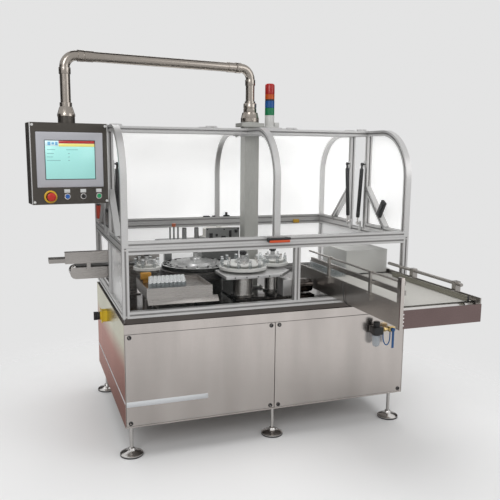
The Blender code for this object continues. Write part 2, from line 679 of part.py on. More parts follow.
def make_panel_box(x, y, top):
    """Box, bezel and controls, drawn square to the arm and turned with it."""
    wide, deep, tall = PANEL_SIZE
    low = top - tall
    front = y - deep / 2
    pivot = (x, y, top + 0.0300)
    body = rounded((x - wide / 2, front, low), (x + wide / 2, front + deep, top), 0.004, "Y")
    neck = rod("Z", (x, y), 0.0400, top - 0.001, top + 0.0300, 20)
    pocket = box((x - 0.157, front - 0.01, top - 0.3030), (x + 0.157, front + 0.0200, top - 0.0430))
    solids = [body, neck]
    screws = [rod("Y", (x + dx, z), 0.0060, front - 0.0025, front + 0.002, 10)
              for dx in (-wide / 2 + 0.012, wide / 2 - 0.012) for z in (low + 0.012, top - 0.012)]
    solids += screws
    row_z = low + 0.037
    stop_x = x - 0.098
    buttons = (("button_blue", x - 0.020, "blue_plastic"), ("button_black", x + 0.056, "black_plastic"),
               ("button_green", x + 0.132, "green_plastic"))
    solids.append(rod("Y", (stop_x, row_z), 0.0300, front - 0.0040, front + 0.002, 24))
    window = box((x - 0.150, front + 0.010, top - 0.2960), (x + 0.150, front + 0.030, top - 0.0500))
    room = box((x - wide / 2 + 0.003, front + 0.0240, row_z + 0.035),
               (x + wide / 2 - 0.003, front + deep - 0.003, top - 0.003))
    cuts = [pocket, window, room,
            rod("Y", (stop_x, row_z), 0.0108, front - 0.02, front + 0.030, 16)]
    for _, bx, _ in buttons:
        solids.append(rod("Y", (bx, row_z), 0.0145, front - 0.0040, front + 0.002, 18))
        cuts.append(rod("Y", (bx, row_z), 0.0112, front - 0.02, front + 0.012, 16))
    panel_build("hmi_box", "stainless", solids, cuts, pivot)
    bezel = rounded((x - 0.1565, front - 0.0050, top - 0.3025), (x + 0.1565, front + 0.0197, top - 0.0435),
                    0.006, "Y")
    glass = box((x - 0.119, front - 0.010, top - 0.2660), (x + 0.119, front - 0.0030, top - 0.0800))
    panel_build("hmi_screen", "screen_grey", [bezel], [glass], pivot)
    head = turned([(0, front - 0.0340), (0.0170, front - 0.0330), (0.0200, front - 0.0280),
                   (0.0200, front - 0.0200), (0.0120, front - 0.0150), (0.0105, front - 0.0140),
                   (0.0105, front + 0.0150), (0, front + 0.0150)], (stop_x, row_z), "Y", 16)
    panel_build("estop_head", "red_plastic", [head], (), (stop_x, front, row_z))
    for name, bx, look in buttons:
        cap = turned([(0, front - 0.0085), (0.0100, front - 0.0080), (0.0108, front - 0.0070),
                      (0.0108, front + 0.0060), (0, front + 0.0060)], (bx, row_z), "Y", 16)
        panel_build(name, look, [cap], (), (bx, front, row_z))


# ---- signals and switches ----------------------------------------------------------------------
def make_signals():
    """Stack light on the top rails and the rotary main switch on the cabinet's left side."""
    x, y, z = 0.157, MID_Y, BEAM_TOP + 0.0103
    r, step, dip = 0.0262, 0.0012, 0.0015
    profile = [(0, z), (0.034, z), (0.034, z + 0.006), (r, z + 0.009)]
    for ring in (1.6560, 1.6960, 1.7340, 1.7420, 1.7690):
        profile += [(r, ring - step), (r - dip, ring), (r, ring + step)]
    profile += [(r, 1.8190), (0.020, 1.8260), (0, 1.8270)]
    terminal = box((x + 0.020, y - 0.016, z + 0.0005), (x + 0.052, y + 0.016, z + 0.030))
    build("stack_light", "grey_paint", [turned(profile, (x, y), "Z", 18), terminal])
    sy, sz, wall = 0.605, 0.566, -HALF_WIDTH - 0.0003
    base = rounded((wall - 0.028, sy - 0.030, sz - 0.030), (wall, sy + 0.030, sz + 0.030), 0.006, "X")
    plate = rounded((wall - 0.032, sy - 0.034, sz - 0.034), (wall - 0.027, sy + 0.034, sz + 0.034),
                    0.004, "X")
    collar = rod("X", (sy, sz), 0.0240, wall - 0.038, wall - 0.031, 24)
    build("main_switch_plate", "yellow_plastic", [base, plate, collar])
    wheel = rod("X", (sy, sz), 0.0215, wall - 0.052, wall - 0.0383, 24)
    grip = rounded((wall - 0.070, sy - 0.0075, sz - 0.0225), (wall - 0.050, sy + 0.0075, sz + 0.0225),
                   0.004, "X")
    build("main_switch_knob", "black_plastic", [wheel, grip], origin=(wall - 0.0383, sy, sz))


# ---- mechanism on the table --------------------------------------------------------------------
def star_outline(centre, radius, pockets, pocket_radius, steps=3):
    """Outline of a starwheel: a disc with round pockets in its rim."""
    points = []
    reach = radius + pocket_radius * 0.25
    cosine = (reach ** 2 + radius ** 2 - pocket_radius ** 2) / (2 * reach * radius)
    half = math.acos(cosine)
    for k in range(pockets):
        middle = math.tau * k / pockets
        hub = (centre[0] + reach * math.cos(middle), centre[1] + reach * math.sin(middle))
        start = (centre[0] + radius * math.cos(middle - half) - hub[0],
                 centre[1] + radius * math.sin(middle - half) - hub[1])
        stop = (centre[0] + radius * math.cos(middle + half) - hub[0],
                centre[1] + radius * math.sin(middle + half) - hub[1])
        a0 = math.atan2(start[1], start[0])
        a1 = math.atan2(stop[1], stop[0])
        while a1 > a0:
            a1 -= math.tau
        for i in range(steps + 1):
            angle = a0 + (a1 - a0) * i / steps
            points.append((hub[0] + pocket_radius * math.cos(angle),
                           hub[1] + pocket_radius * math.sin(angle)))
        following = middle + math.tau / pockets
        points.append((centre[0] + radius * math.cos((middle + following) / 2),
                       centre[1] + radius * math.sin((middle + following) / 2)))
    return points


def make_rotors():
    """Turntable and three starwheels on their shafts, each with a black hand knob."""
    tx, ty = TURNTABLE
    disc = turned([(r, DECK_Z + h) for r, h in (
        (0, 0), (0.184, 0), (0.188, 0.0025), (0.188, 0.0195), (0.184, 0.0215), (0.168, 0.0215),
        (0.168, 0.0155), (0.110, 0.0155), (0.104, 0.0335), (0.040, 0.0375), (0.030, 0.0535),
        (0.014, 0.0555), (0.014, 0.0755), (0.022, 0.0785), (0.022, 0.0955), (0.016, 0.1005),
        (0, 0.1005))], (tx, ty), "Z", 32)
    slots = [box((tx - 0.1820, ty - 0.004, DECK_Z + 0.0180), (tx - 0.1700, ty + 0.004, DECK_Z + 0.0335))]
    notches = []
    for k in range(STATIONS):
        notches.append(turn_about(slots[0], (tx, ty), math.tau * (k + 0.5) / STATIONS))
    build("turntable_disc", "black_anodised", [disc], notches, origin=(tx, ty, DECK_Z))
    for name, (x, y), radius, pockets in (("starwheel_main", WHEEL_1, 0.125, POCKETS[0]),
                                          ("starwheel_exit", WHEEL_2, 0.085, POCKETS[1]),
                                          ("starwheel_infeed", WHEEL_3, 0.070, POCKETS[2])):
        shaft_low = PLATE_TOP + RUNNING_GAP
        outline = star_outline((x, y), radius, pockets, 0.0135)
        hub = turned([(0, shaft_low), (0.018, shaft_low), (0.018, WHEEL_Z - 0.001),
                      (0.018, WHEEL_Z + 0.026), (0.045, WHEEL_Z + 0.0265), (0.043, WHEEL_Z + 0.048),
                      (0.012, WHEEL_Z + 0.050), (0.012, WHEEL_Z + 0.066), (0.019, WHEEL_Z + 0.069),
                      (0.019, WHEEL_Z + 0.084), (0.014, WHEEL_Z + 0.088), (0, WHEEL_Z + 0.088)],
                     (x, y), "Z", 16)
        lower = prism(outline, "Z", WHEEL_Z - 0.004, WHEEL_Z + 0.012)
        upper = prism(outline, "Z", WHEEL_Z + 0.020, WHEEL_Z + 0.028)
        core = rod("Z", (x, y), radius * 0.62, WHEEL_Z + 0.005, WHEEL_Z + 0.023, 20)
        build(name, "white_plastic", [lower, upper, core, hub], origin=(x, y, shaft_low))


def turn_about(solid, centre, angle):
    """Turns a solid about a vertical axis."""
    verts, faces = solid
    c, s = math.cos(angle), math.sin(angle)
    moved = []
    for vx, vy, vz in verts:
        dx, dy = vx - centre[0], vy - centre[1]
        moved.append((centre[0] + dx * c - dy * s, centre[1] + dx * s + dy * c, vz))
    return moved, faces


def make_drive():
    """The turntable's bearing pot on one base with the starwheels' pillars, support plate and motor."""
    floor, foot, wide = TABLE_TOP + RUNNING_GAP, POT_FOOT_RADIUS, POT_RADIUS
    pot_top = DECK_Z - 0.0005
    pot = turned([(0, floor), (foot, floor), (foot, 0.7680), (wide, 0.7840), (wide, pot_top - 0.006),
                  (wide - 0.007, pot_top), (0, pot_top)], TURNTABLE, "Z", 26)
    outline = [(-0.212, 0.140), (0.090, 0.140), (0.170, 0.235), (0.170, 0.420), (-0.212, 0.420)]
    plate = prism(outline, "Z", PLATE_TOP - 0.016, PLATE_TOP)
    base = rounded((-0.145, 0.185, floor), (0.300, 0.425, 0.7020), 0.012)
    pillars = [rod("Z", WHEEL_1, 0.052, 0.6990, PLATE_TOP - 0.010, 22),
               rod("Z", WHEEL_2, 0.043, 0.6980, PLATE_TOP - 0.009, 20)]
    collars = [rod("Z", WHEEL_1, 0.062, 0.6985, 0.7120, 22),
               rod("Z", WHEEL_2, 0.052, 0.6975, 0.7110, 20)]
    motor = rod("X", (0.235, 0.7460), 0.038, 0.170, 0.285, 18)
    gear = rounded((0.120, 0.195, 0.6995), (0.172, 0.275, 0.7900), 0.006, "X")
    cap = rod("X", (0.235, 0.7460), 0.034, 0.284, 0.298, 18)
    under_deck = rod("Z", TURNTABLE, 0.1905, pot_top + 0.0001, PLATE_TOP + 0.010, 32)
    build("drive_unit", "stainless", [base, pot, plate] + pillars + collars + [motor, gear, cap],
          [under_deck])


def make_tray():
    """Open tray for glass containers on a stand, at the front left."""
    x0, x1, y0, y1 = -0.632, -0.312, 0.045, 0.325
    z0, z1, t = 0.7680, 0.8200, 0.003
    bed, floor = z1 - 0.020, TABLE_TOP + 0.0003
    walls = [box((x0, y0, z0), (x1, y0 + t, z1)), box((x0, y1 - t, z0), (x1, y1, z1)),
             box((x0, y0, z0), (x0 + t, y1, z1)), box((x1 - t, y0, z0), (x1, y1, z1)),
             box((x0, y0, bed - t), (x1, y1, bed))]
    chute = [(y0 + 0.0005, z0 + t), (y0 + 0.0005, z0), (y0 - 0.021, z0 - 0.025), (y0 - 0.024, z0 - 0.023)]
    lip = prism(chute, "X", x0 + 0.002, x1 + 0.026)
    stand = box((x0 + 0.070, y0 + 0.080, floor), (x1 - 0.070, y1 - 0.060, bed - 0.002))
    build("container_tray", "stainless", walls + [lip, stand])


# ---- conveyors ---------------------------------------------------------------------------------
def stadium(centre_a, centre_b, z, radius, steps=8):
    """Outline of a belt round two rollers, as (along, height) points."""
    points = []
    for k in range(steps + 1):
        angle = math.radians(-90 + 180 * k / steps)
        points.append((centre_b + radius * math.cos(angle), z + radius * math.sin(angle)))
    for k in range(steps + 1):
        angle = math.radians(90 + 180 * k / steps)
        points.append((centre_a + radius * math.cos(angle), z + radius * math.sin(angle)))
    return points


def make_infeed():
    """Narrow belt conveyor that brings containers from the left to the turntable."""
    y0, y1 = INFEED_Y
    zc, r = 0.8300, 0.0330
    xa, xb = -0.9130, -0.5060
    t = 0.005
    outline = stadium(xa, xb, zc - 0.004, 0.0300, 6)
    sides = [prism(outline, "Y", y0, y0 + t), prism(outline, "Y", y1 - t, y1)]
    ties = [box((x, y0 + 0.001, 0.8080), (x + 0.030, y1 - 0.001, 0.8460)) for x in (-0.800, -0.580)]
    floor = TABLE_TOP + RUNNING_GAP
    leg = [box((-0.640, y0, floor + 0.001), (-0.600, y0 + t, 0.8100)),
           box((-0.640, y1 - t, floor + 0.001), (-0.600, y1, 0.8100)),
           box((-0.660, y0 - 0.001, floor), (-0.580, y1 + 0.001, floor + 0.006))]
    guide = box((-0.967, y0 - 0.018, 0.8800), (-0.4800, y0 - 0.003, 0.9400))
    cover = box((-0.967, y0 - 0.018, 0.9350), (-0.4800, y0 + 0.020, 0.9400))
    struts = [box((x, y0 - 0.0175, 0.8420), (x + 0.020, y0 + 0.001, 0.8850)) for x in (-0.860, -0.560)]
    far = box((-1.0410, y1 + 0.002, 0.8640), (-0.7600, y1 + 0.080, 0.8860))
    far_stay = box((-0.860, y1 - 0.001, 0.8400), (-0.820, y1 + 0.020, 0.8700))
    wx, wy = WHEEL_3
    shelf = box((wx - 0.045, wy - 0.050, PLATE_TOP - 0.012), (wx + 0.045, y0 + 0.003, PLATE_TOP))
    pillar = rod("Z", WHEEL_3, 0.026, floor, PLATE_TOP - 0.006, 20)
    build("infeed_frame", "stainless",
          sides + ties + leg + [guide, cover, far, far_stay, shelf, pillar] + struts)
    ring = prism(stadium(xa, xb, zc, r), "Y", y0 + 0.008, y1 - 0.008)
    inner = prism(stadium(xa, xb, zc, r - 0.0035), "Y", y0, y1)
    belt_cut = [inner]
    build("infeed_belt", "belt_dark", [ring], belt_cut)
    wide = (r - 0.0035) * math.cos(HALF_FLAT / 2) - RUNNING_GAP   # clears the flats of the belt's bend
    drum = turned([(0, y0 + 0.0055), (0.008, y0 + 0.0055), (0.008, y0 + 0.0085),
                   (wide - 0.0005, y0 + 0.0086), (wide, y0 + 0.0120), (wide, y1 - 0.0120),
                   (wide - 0.0005, y1 - 0.0086), (0.008, y1 - 0.0085), (0.008, y1 - 0.0055),
                   (0, y1 - 0.0055)], (xa, zc), "Y", 16)
    build("infeed_roller", "chrome", [drum], origin=(xa, (y0 + y1) / 2, zc))


def make_outfeed():
    """Wide collecting conveyor with side plates, guide rails on posts and an end roller."""
    x0, x1 = OUTFEED_X
    y0, y1 = OUTFEED_Y
    t, low, high = 0.006, 0.7252, 0.8300
    zc, r = 0.7790, 0.0300
    ya, yb = y0 + 0.052, y1 - 0.046
    sides = [box((x0, y0 + 0.004, low), (x0 + t, y1, high)), box((x1 - t, y0 + 0.004, low), (x1, y1, high))]
    end = box((x0, y0, low), (x1, y0 + 0.005, 0.8050))
    ties = [box((x0 + 0.001, y, 0.7600), (x1 - 0.001, y + 0.040, 0.7980)) for y in (-0.500, -0.060, 0.300)]
    post = box((x0 - 0.0140, y0 - 0.0060, low - 0.003), (x0 + 0.0005, y0 + 0.0240, 0.9450))
    rail_posts = [box((x0 - 0.0100, y, 0.8000), (x0 + 0.0005, y + 0.016, 0.9300)) for y in (-0.380, 0.030)]
    rail_feet = [box((x0 - 0.0160, y - 0.010, 0.7950), (x0 + 0.0005, y + 0.026, 0.8250))
                 for y in (-0.380, 0.030)]
    top_rod = rod("Y", (x0 + 0.006, 0.9220), 0.0050, y0 + 0.0100, 0.3000, 12)
    rod_blocks = [box((x0 - 0.0095, y + 0.002, 0.9120), (x0 + 0.0130, y + 0.014, 0.9295))
                  for y in (-0.380, 0.030)]
    rod_blocks.append(box((x0 - 0.0010, y0 + 0.002, 0.9120), (x0 + 0.0130, y0 + 0.022, 0.9320)))
    dark_bar = box((x0 + 0.0160, y0 + 0.020, 0.8640), (x0 + 0.0280, 0.300, 0.8860))
    bar_stays = [box((x0 - 0.0005, y + 0.002, 0.8700), (x0 + 0.0170, y + 0.014, 0.8800))
                 for y in (-0.380, 0.030)]
    right_bar = rod("Y", (x1 - 0.0160, 0.8660), 0.0080, -0.5100, 0.1000, 14)
    blocks = [rounded((x1 - 0.0290, y - 0.014, 0.8200), (x1 - 0.0010, y + 0.014, 0.8780), 0.004, "Y")
              for y in (-0.470, -0.130)]
    build("outfeed_frame", "stainless",
          sides + [end, post] + ties + rail_posts + rail_feet + [top_rod] + rod_blocks
          + [dark_bar] + bar_stays + [right_bar] + blocks)
    outline = stadium(ya, yb, zc, r, 8)
    inside = stadium(ya, yb, zc, r - 0.0040, 8)
    ring = prism(outline, "X", x0 + 0.012, x1 - 0.012)
    hollow = prism(inside, "X", x0, x1)
    build("outfeed_belt", "belt_cream", [ring], [hollow])
    wide = (r - 0.0040) * math.cos(HALF_FLAT / 2) - RUNNING_GAP
    drum = turned([(0, x0 + 0.0065), (0.009, x0 + 0.0065), (0.009, x0 + 0.0125),
                   (wide - 0.0005, x0 + 0.0130), (wide, x0 + 0.0160), (wide, x1 - 0.0160),
                   (wide - 0.0005, x1 - 0.0130), (0.009, x1 - 0.0125), (0.009, x1 - 0.0065),
                   (0, x1 - 0.0065)], (ya, zc), "X", 16)
    build("outfeed_roller", "chrome", [drum], origin=((x0 + x1) / 2, ya, zc))
    hood = rounded((0.4500, 0.1200, 0.8160), (0.7000, 0.4000, 0.9400), 0.004, "Z")
    flange = box((0.6985, 0.1200, 0.8303), (0.7190, 0.4000, 0.8330))
    hollow = box((0.4520, 0.1220, 0.8000), (0.6980, 0.3980, 0.9380))
    build("discharge_cover", "stainless", [hood, flange], [hollow])


# ---- label dispenser and air supply ------------------------------------------------------------
def make_labeller():
    """Label dispenser: housing, guide rollers, and a reel of labels behind a face plate."""
    floor = TABLE_TOP + 0.0003
    housing = rounded((-0.180, 0.716, floor), (0.050, 0.836, 0.9550), 0.006)
    plate = rounded((-0.430, 0.660, 0.9300), (0.060, 0.860, 0.9420), 0.015)
    face = rounded((-0.168, 0.662, 0.9410), (0.034, 0.668, 1.0200), 0.002, "Y")
    leg = box((-0.400, 0.710, floor), (-0.360, 0.750, 0.9310))
    pins = [rod("Z", (x, y), 0.0050, 0.9410, 1.0300, 14)
            for x, y in ((-0.373, 0.692), (-0.349, 0.700), (-0.327, 0.692))]
    roller = [rod("Z", (x, 0.700), 0.0130, 0.9410, 1.0180, 20) for x in (-0.288, -0.216)]
    build("label_head", "grey_paint", [housing, plate, face, leg] + pins + roller)
    x, y, z = -0.060, 0.776, 0.9550 + RUNNING_GAP
    reel = turned([(0, z), (0.104, z), (0.104, z + 0.003), (0.094, z + 0.0035), (0.094, z + 0.050),
                   (0.040, z + 0.0505), (0.038, z + 0.054), (0.016, z + 0.055), (0.016, z + 0.062),
                   (0, z + 0.062)], (x, y), "Z", 20)
    build("label_reel", "paper", [reel], origin=(x, y, z))


def make_air():
    """Compressed-air filter with its regulator, and the blue shut-off lever beside it."""
    face = -0.0003
    block = rounded((0.530, -0.062, 0.5200), (0.585, -0.012, 0.5600), 0.004)
    mount = box((0.540, -0.013, 0.5250), (0.575, face, 0.5550))
    bowl = turned([(0, 0.4520), (0.010, 0.4530), (0.0185, 0.4620), (0.0195, 0.4750), (0.0195, 0.5150),
                   (0.0220, 0.5170), (0.0220, 0.5210), (0, 0.5210)], (0.556, -0.037), "Z", 24)
    knob = turned([(0, 0.5590), (0.0170, 0.5590), (0.0175, 0.5620), (0.0175, 0.5840), (0.0140, 0.5880),
                   (0, 0.5880)], (0.556, -0.037), "Z", 24)
    pipe = tube_path([(0.584, -0.037, 0.5400), (0.600, -0.037, 0.5400), (0.630, -0.037, 0.5400)],
                     0.0080, 14)
    valve = rounded((0.626, -0.050, 0.5270), (0.662, -0.024, 0.5530), 0.004)
    build("air_regulator", "black_plastic", [block, mount, bowl, knob, pipe, valve])
    lever = [rod("Y", (0.644, 0.540), 0.0100, -0.0620, -0.0503, 20),
             rounded((0.6375, -0.0610, 0.4420), (0.6505, -0.0555, 0.5360), 0.0022, "Z")]
    build("air_valve_lever", "blue_plastic", lever, origin=(0.644, -0.0503, 0.540))


# ---- assembly ----------------------------------------------------------------------------------
clear_scene()
ROOT = bpy.data.objects.new("labelling_machine", None)
bpy.context.scene.collection.objects.link(ROOT)


def centre_on_footprint():
    """Moves the root so that the middle of the machine's footprint is the world's origin."""
    bpy.context.view_layer.update()
    corners = [piece.matrix_world @ Vector(corner)
               for piece in bpy.data.objects if piece.type == "MESH"
               for corner in piece.bound_box]
    for axis in (0, 1):
        low = min(corner[axis] for corner in corners)
        high = max(corner[axis] for corner in corners)
        ROOT.location[axis] = -(low + high) / 2


def main():
    """Builds every piece of the machine."""
    make_cabinet()
    make_feet()
    make_table()
    make_guard()
    make_column()
    make_top_beam()
    make_hoods()
    make_struts()
    make_panel()
    make_signals()
    make_rotors()
    make_drive()
    make_tray()
    make_infeed()
    make_outfeed()
    make_labeller()
    make_air()
    centre_on_footprint()


main()
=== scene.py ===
"""Rotary labelling machine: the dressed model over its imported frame.

Pieces are drawn in the machine's own plan: X along the front from the middle of the cabinet, Y from
the cabinet's front face to the back, Z up from the floor. dress() then moves a finished piece to the
frame, gives it its finish and lets it ride on its body.
"""

import math

import bpy
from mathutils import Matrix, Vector


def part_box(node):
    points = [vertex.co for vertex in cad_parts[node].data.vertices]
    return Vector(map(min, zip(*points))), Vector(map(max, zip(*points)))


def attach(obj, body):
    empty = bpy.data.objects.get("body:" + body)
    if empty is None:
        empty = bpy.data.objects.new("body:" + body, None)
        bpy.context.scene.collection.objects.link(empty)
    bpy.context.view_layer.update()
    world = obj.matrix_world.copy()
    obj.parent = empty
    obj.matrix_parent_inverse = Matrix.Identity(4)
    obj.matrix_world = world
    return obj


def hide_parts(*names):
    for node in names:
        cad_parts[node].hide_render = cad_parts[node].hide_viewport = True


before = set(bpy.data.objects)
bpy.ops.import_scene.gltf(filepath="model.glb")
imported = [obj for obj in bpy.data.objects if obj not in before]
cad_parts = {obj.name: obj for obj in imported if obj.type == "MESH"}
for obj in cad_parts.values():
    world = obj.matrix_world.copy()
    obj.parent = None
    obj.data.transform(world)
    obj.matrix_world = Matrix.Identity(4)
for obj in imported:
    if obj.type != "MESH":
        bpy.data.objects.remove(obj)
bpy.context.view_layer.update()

bl_info = {
    "name": "Rotary labelling machine",
    "version": (1, 0, 0),
    "blender": (4, 5, 0),
    "location": "View3D > Sidebar > Labeller",
    "description": "Dresses a rotary labelling machine over its frame, piece by piece",
    "category": "Object",
}

SHELL_LOW, SHELL_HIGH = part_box("cabinet_shell")
SHIFT = Vector(((SHELL_LOW.x + SHELL_HIGH.x) / 2, SHELL_LOW.y, 0.0))

# Places on the machine, in metres
HALF_WIDTH = 0.75
MID_Y = 0.517
GUARD_BOTTOM, GUARD_TOP = 0.6945, 1.0195
GUARD_REAR = 1.034
TABLE_TOP = 0.694
HOOD_BOTTOM, BEAM_TOP = 1.0202, 1.578
HINGE_OFFSET, HINGE_Z = 0.07075, 1.5837
HINGE_XS = (-0.7, -0.2, 0.26, 0.7)
POST_Y = MID_Y - 0.098
RIB_X = 0.003
COLUMN_X = 0.041
ARM_PIVOT_Z, ARM_Z, ARM_LENGTH = 1.6163, 1.9, 0.993
ARM_TURN = math.radians(8.0)
PANEL_TOP, PANEL_LOW = 1.5825, 1.1995
PANEL_X = COLUMN_X - ARM_LENGTH
PANEL_FRONT = MID_Y - 0.055
CONTROL_Z = 1.2365
TURNTABLE, DECK_Z = (-0.268, 0.527), 0.8245
WHEEL_1, WHEEL_2, WHEEL_3 = (-0.074, 0.285), (0.125, 0.362), (-0.562, 0.408)
PLATE_TOP = 0.834
WHEEL_Z = PLATE_TOP + 0.018
BRACE_SPAN = 0.211            # how far a hood's brace runs, up and back
SEAT = 0.0046                 # how deep the sheets reach into the slots
STRUT_X, STRUT_FOOT, STRUT_TOP = 0.7, (0.057, 1.046), (0.09, 1.39)
HINGE_GAP = 0.0003            # between a hood's hinge rail and the hinge's axis plane
INFEED_Y, INFEED_DRUM = (0.5, 0.612), (-0.913, 0.83)
OUTFEED_X, OUTFEED_DRUM = (0.312, 0.716), (-0.578, 0.779)
POST_FRONT = -0.636           # front face of the collecting conveyor's end post
REGULATOR_X, REGULATOR_Y = 0.556, -0.037
STACK_X = 0.157

# Studio, in metres and degrees: the camera's place and turn were fitted to the real machine's corners
CAMERA_PLACE = Vector((-1.1689, -2.846, 1.4516))
CAMERA_YAW, CAMERA_PITCH, CAMERA_ROLL = 19.7409, -9.1881, 0.4967
CAMERA_LENS, CAMERA_SHIFT = 45.83, (0.0037, 0.011)
EVEN = (1.0, 1.0, 1.0)
WHITE = (1.0, 1.0, 1.0, 1.0)


# What a user would change
class MachineSizes(bpy.types.PropertyGroup):
    """Sizes of the dressed machine."""

    profile: bpy.props.FloatProperty(
        name="Profile", description="Width of the square slotted profile", default=0.03, unit="LENGTH")
    slot: bpy.props.FloatProperty(
        name="Slot", description="Width of the slots in the profile", default=0.008, unit="LENGTH")
    arch_radius: bpy.props.FloatProperty(
        name="Arch radius", description="Outside radius of the hoods' bend", default=0.26, unit="LENGTH")
    glazing: bpy.props.FloatProperty(
        name="Glazing", description="Thickness of the hoods' clear sheet", default=0.003, unit="LENGTH")
    arm_radius: bpy.props.FloatProperty(
        name="Arm tube", description="Radius of the panel arm's tube", default=0.024, unit="LENGTH")
    elbow_radius: bpy.props.FloatProperty(
        name="Elbow bend", description="Bend radius of the arm's elbows", default=0.058, unit="LENGTH")
    vial_radius: bpy.props.FloatProperty(
        name="Vial radius", description="Radius of the glass vials", default=0.0088, unit="LENGTH")
    vial_height: bpy.props.FloatProperty(
        name="Vial height", description="Height of the vials with their stoppers", default=0.046,
        unit="LENGTH")


def colour_property(name, description, value):
    """A colour of the machine, as a property."""
    return bpy.props.FloatVectorProperty(
        name=name, description=description, default=value, subtype="COLOR", size=3, min=0.0, max=1.0)


class MachineColours(bpy.types.PropertyGroup):
    """Main colours of the dressed machine."""

    steel: colour_property("Steel", "Brushed cabinet sheet", (0.61, 0.565, 0.535))
    aluminium: colour_property("Aluminium", "Anodised profile", (0.6, 0.595, 0.59))
    arm: colour_property("Arm", "Brushed tube of the panel arm", (0.36, 0.325, 0.29))
    opal: colour_property("Opal sheet", "Milky sheets of the rear hood and windows", (0.95, 0.95, 0.945))
    clear: colour_property("Clear sheet", "Clear front sheets", (0.08, 0.09, 0.09))
    column: colour_property("Column", "Painted column", (0.43, 0.43, 0.405))
    panel: colour_property("Panel", "Housing of the operator panel", (0.09, 0.082, 0.073))
    belt: colour_property("Belt", "Collecting belt", (0.47, 0.46, 0.43))
    plastic: colour_property("White plastic", "Starwheels", (0.8, 0.8, 0.77))
    background: colour_property("Background", "Studio background", (0.775, 0.775, 0.775))


def sizes():
    """The machine's sizes."""
    return bpy.context.scene.labeller_sizes


def colours():
    """The machine's colours."""
    return bpy.context.scene.labeller_colours


# Modelling steps
def clear_selection():
    """Leaves object mode with nothing selected."""
    if bpy.context.mode != "OBJECT":
        bpy.ops.object.mode_set(mode="OBJECT")
    bpy.ops.object.select_all(action="DESELECT")


def only(piece):
    """Selects one piece and makes it active."""
    clear_selection()
    piece.select_set(True)
    bpy.context.view_layer.objects.active = piece


def settle(piece):
    """Applies a piece's place, turn and scale to its mesh."""
    only(piece)
    bpy.ops.object.transform_apply(location=True, rotation=True, scale=True)
    return piece


def edit(piece):
    """Opens a piece in edit mode with all of it selected."""
    only(piece)
    bpy.ops.object.mode_set(mode="EDIT")
    bpy.ops.mesh.select_all(action="SELECT")


def close_edit(outward=True):
    """Merges doubles, points the faces outward and goes back to object mode."""
    bpy.ops.mesh.select_all(action="SELECT")
    bpy.ops.mesh.remove_doubles(threshold=1e-5)
    if outward:
        bpy.ops.mesh.normals_make_consistent(inside=False)
    bpy.ops.object.mode_set(mode="OBJECT")


def pick(piece, rule, kind="FACE"):
    """Opens a piece in edit mode with only what the rule picks by place (and normal) selected."""
    only(piece)
    bpy.ops.object.mode_set(mode="EDIT")
    bpy.ops.mesh.select_mode(type=kind)
    bpy.ops.mesh.select_all(action="DESELECT")
    bpy.ops.object.mode_set(mode="OBJECT")
    mesh = piece.data
    if kind == "FACE":
        for face in mesh.polygons:
            face.select = rule(face.center, face.normal)
    elif kind == "EDGE":
        for edge in mesh.edges:
            first, last = (mesh.vertices[v].co for v in edge.vertices)
            edge.select = rule((first + last) / 2, (last - first).normalized())
    else:
        for vertex in mesh.vertices:
            vertex.select = rule(vertex.co, vertex.normal)
    bpy.ops.object.mode_set(mode="EDIT")


def soften(piece, degrees=32.0):
    """Shades a piece smooth, with its sharp edges kept."""
    only(piece)
    bpy.ops.object.shade_smooth_by_angle(angle=math.radians(degrees))
    return piece


def slab(name, low, high, edge=0.0008, segments=2):
    """A block between two corners with its edges broken."""
    clear_selection()
    size = [b - a for a, b in zip(low, high)]
    middle = [(a + b) / 2 for a, b in zip(low, high)]
    bpy.ops.mesh.primitive_cube_add(size=1.0, location=middle, scale=size)
    piece = settle(bpy.context.active_object)
    piece.name = name
    edit(piece)
    bpy.ops.mesh.bevel(offset=min(edge, 0.35 * min(size)), segments=segments, affect="EDGES")
    close_edit()
    return soften(piece, 50.0)


def turned(name, profile, segments=32, centre=(0.0, 0.0, 0.0), axis="Z"):
    """A lathe piece: a disc extruded and scaled through the (radius, height) steps of a profile."""
    clear_selection()
    radius, height = profile[0]
    bpy.ops.mesh.primitive_circle_add(vertices=segments, radius=radius, fill_type="NGON",
                                      location=(0.0, 0.0, height))
    piece = settle(bpy.context.active_object)
    piece.name = name
    edit(piece)
    for wide, level in profile[1:]:
        bpy.ops.mesh.extrude_region_move(TRANSFORM_OT_translate={"value": (0.0, 0.0, level - height)})
        bpy.ops.transform.resize(value=(wide / radius, wide / radius, 1.0),
                                 center_override=(0.0, 0.0, level))
        radius, height = wide, level
    close_edit()
    quarter = math.pi / 2
    piece.rotation_euler = {"Z": (0, 0, 0), "X": (0, quarter, 0), "-X": (0, -quarter, 0),
                            "Y": (-quarter, 0, 0), "-Y": (quarter, 0, 0)}[axis]
    piece.location = centre
    settle(piece)
    return soften(piece)


def rod_between(name, start, end, radius, segments=20):
    """A round bar with broken ends between two points."""
    a, b = Vector(start), Vector(end)
    length = (b - a).length
    edge = min(0.0008, radius * 0.3)
    piece = turned(name, [(radius - edge, 0), (radius, edge), (radius, length - edge),
                          (radius - edge, length)], segments)
    piece.rotation_euler = (b - a).to_track_quat("Z", "Y").to_euler()
    piece.location = a
    return settle(piece)


def copy_of(piece, name, move=(0.0, 0.0, 0.0), turn=(0.0, 0.0, 0.0)):
    """A copy with a mesh of its own, turned about the plan's origin and moved."""
    only(piece)
    bpy.ops.object.duplicate(linked=False)
    twin = bpy.context.active_object
    twin.name = name
    twin.rotation_euler = turn
    twin.location = move
    return settle(twin)


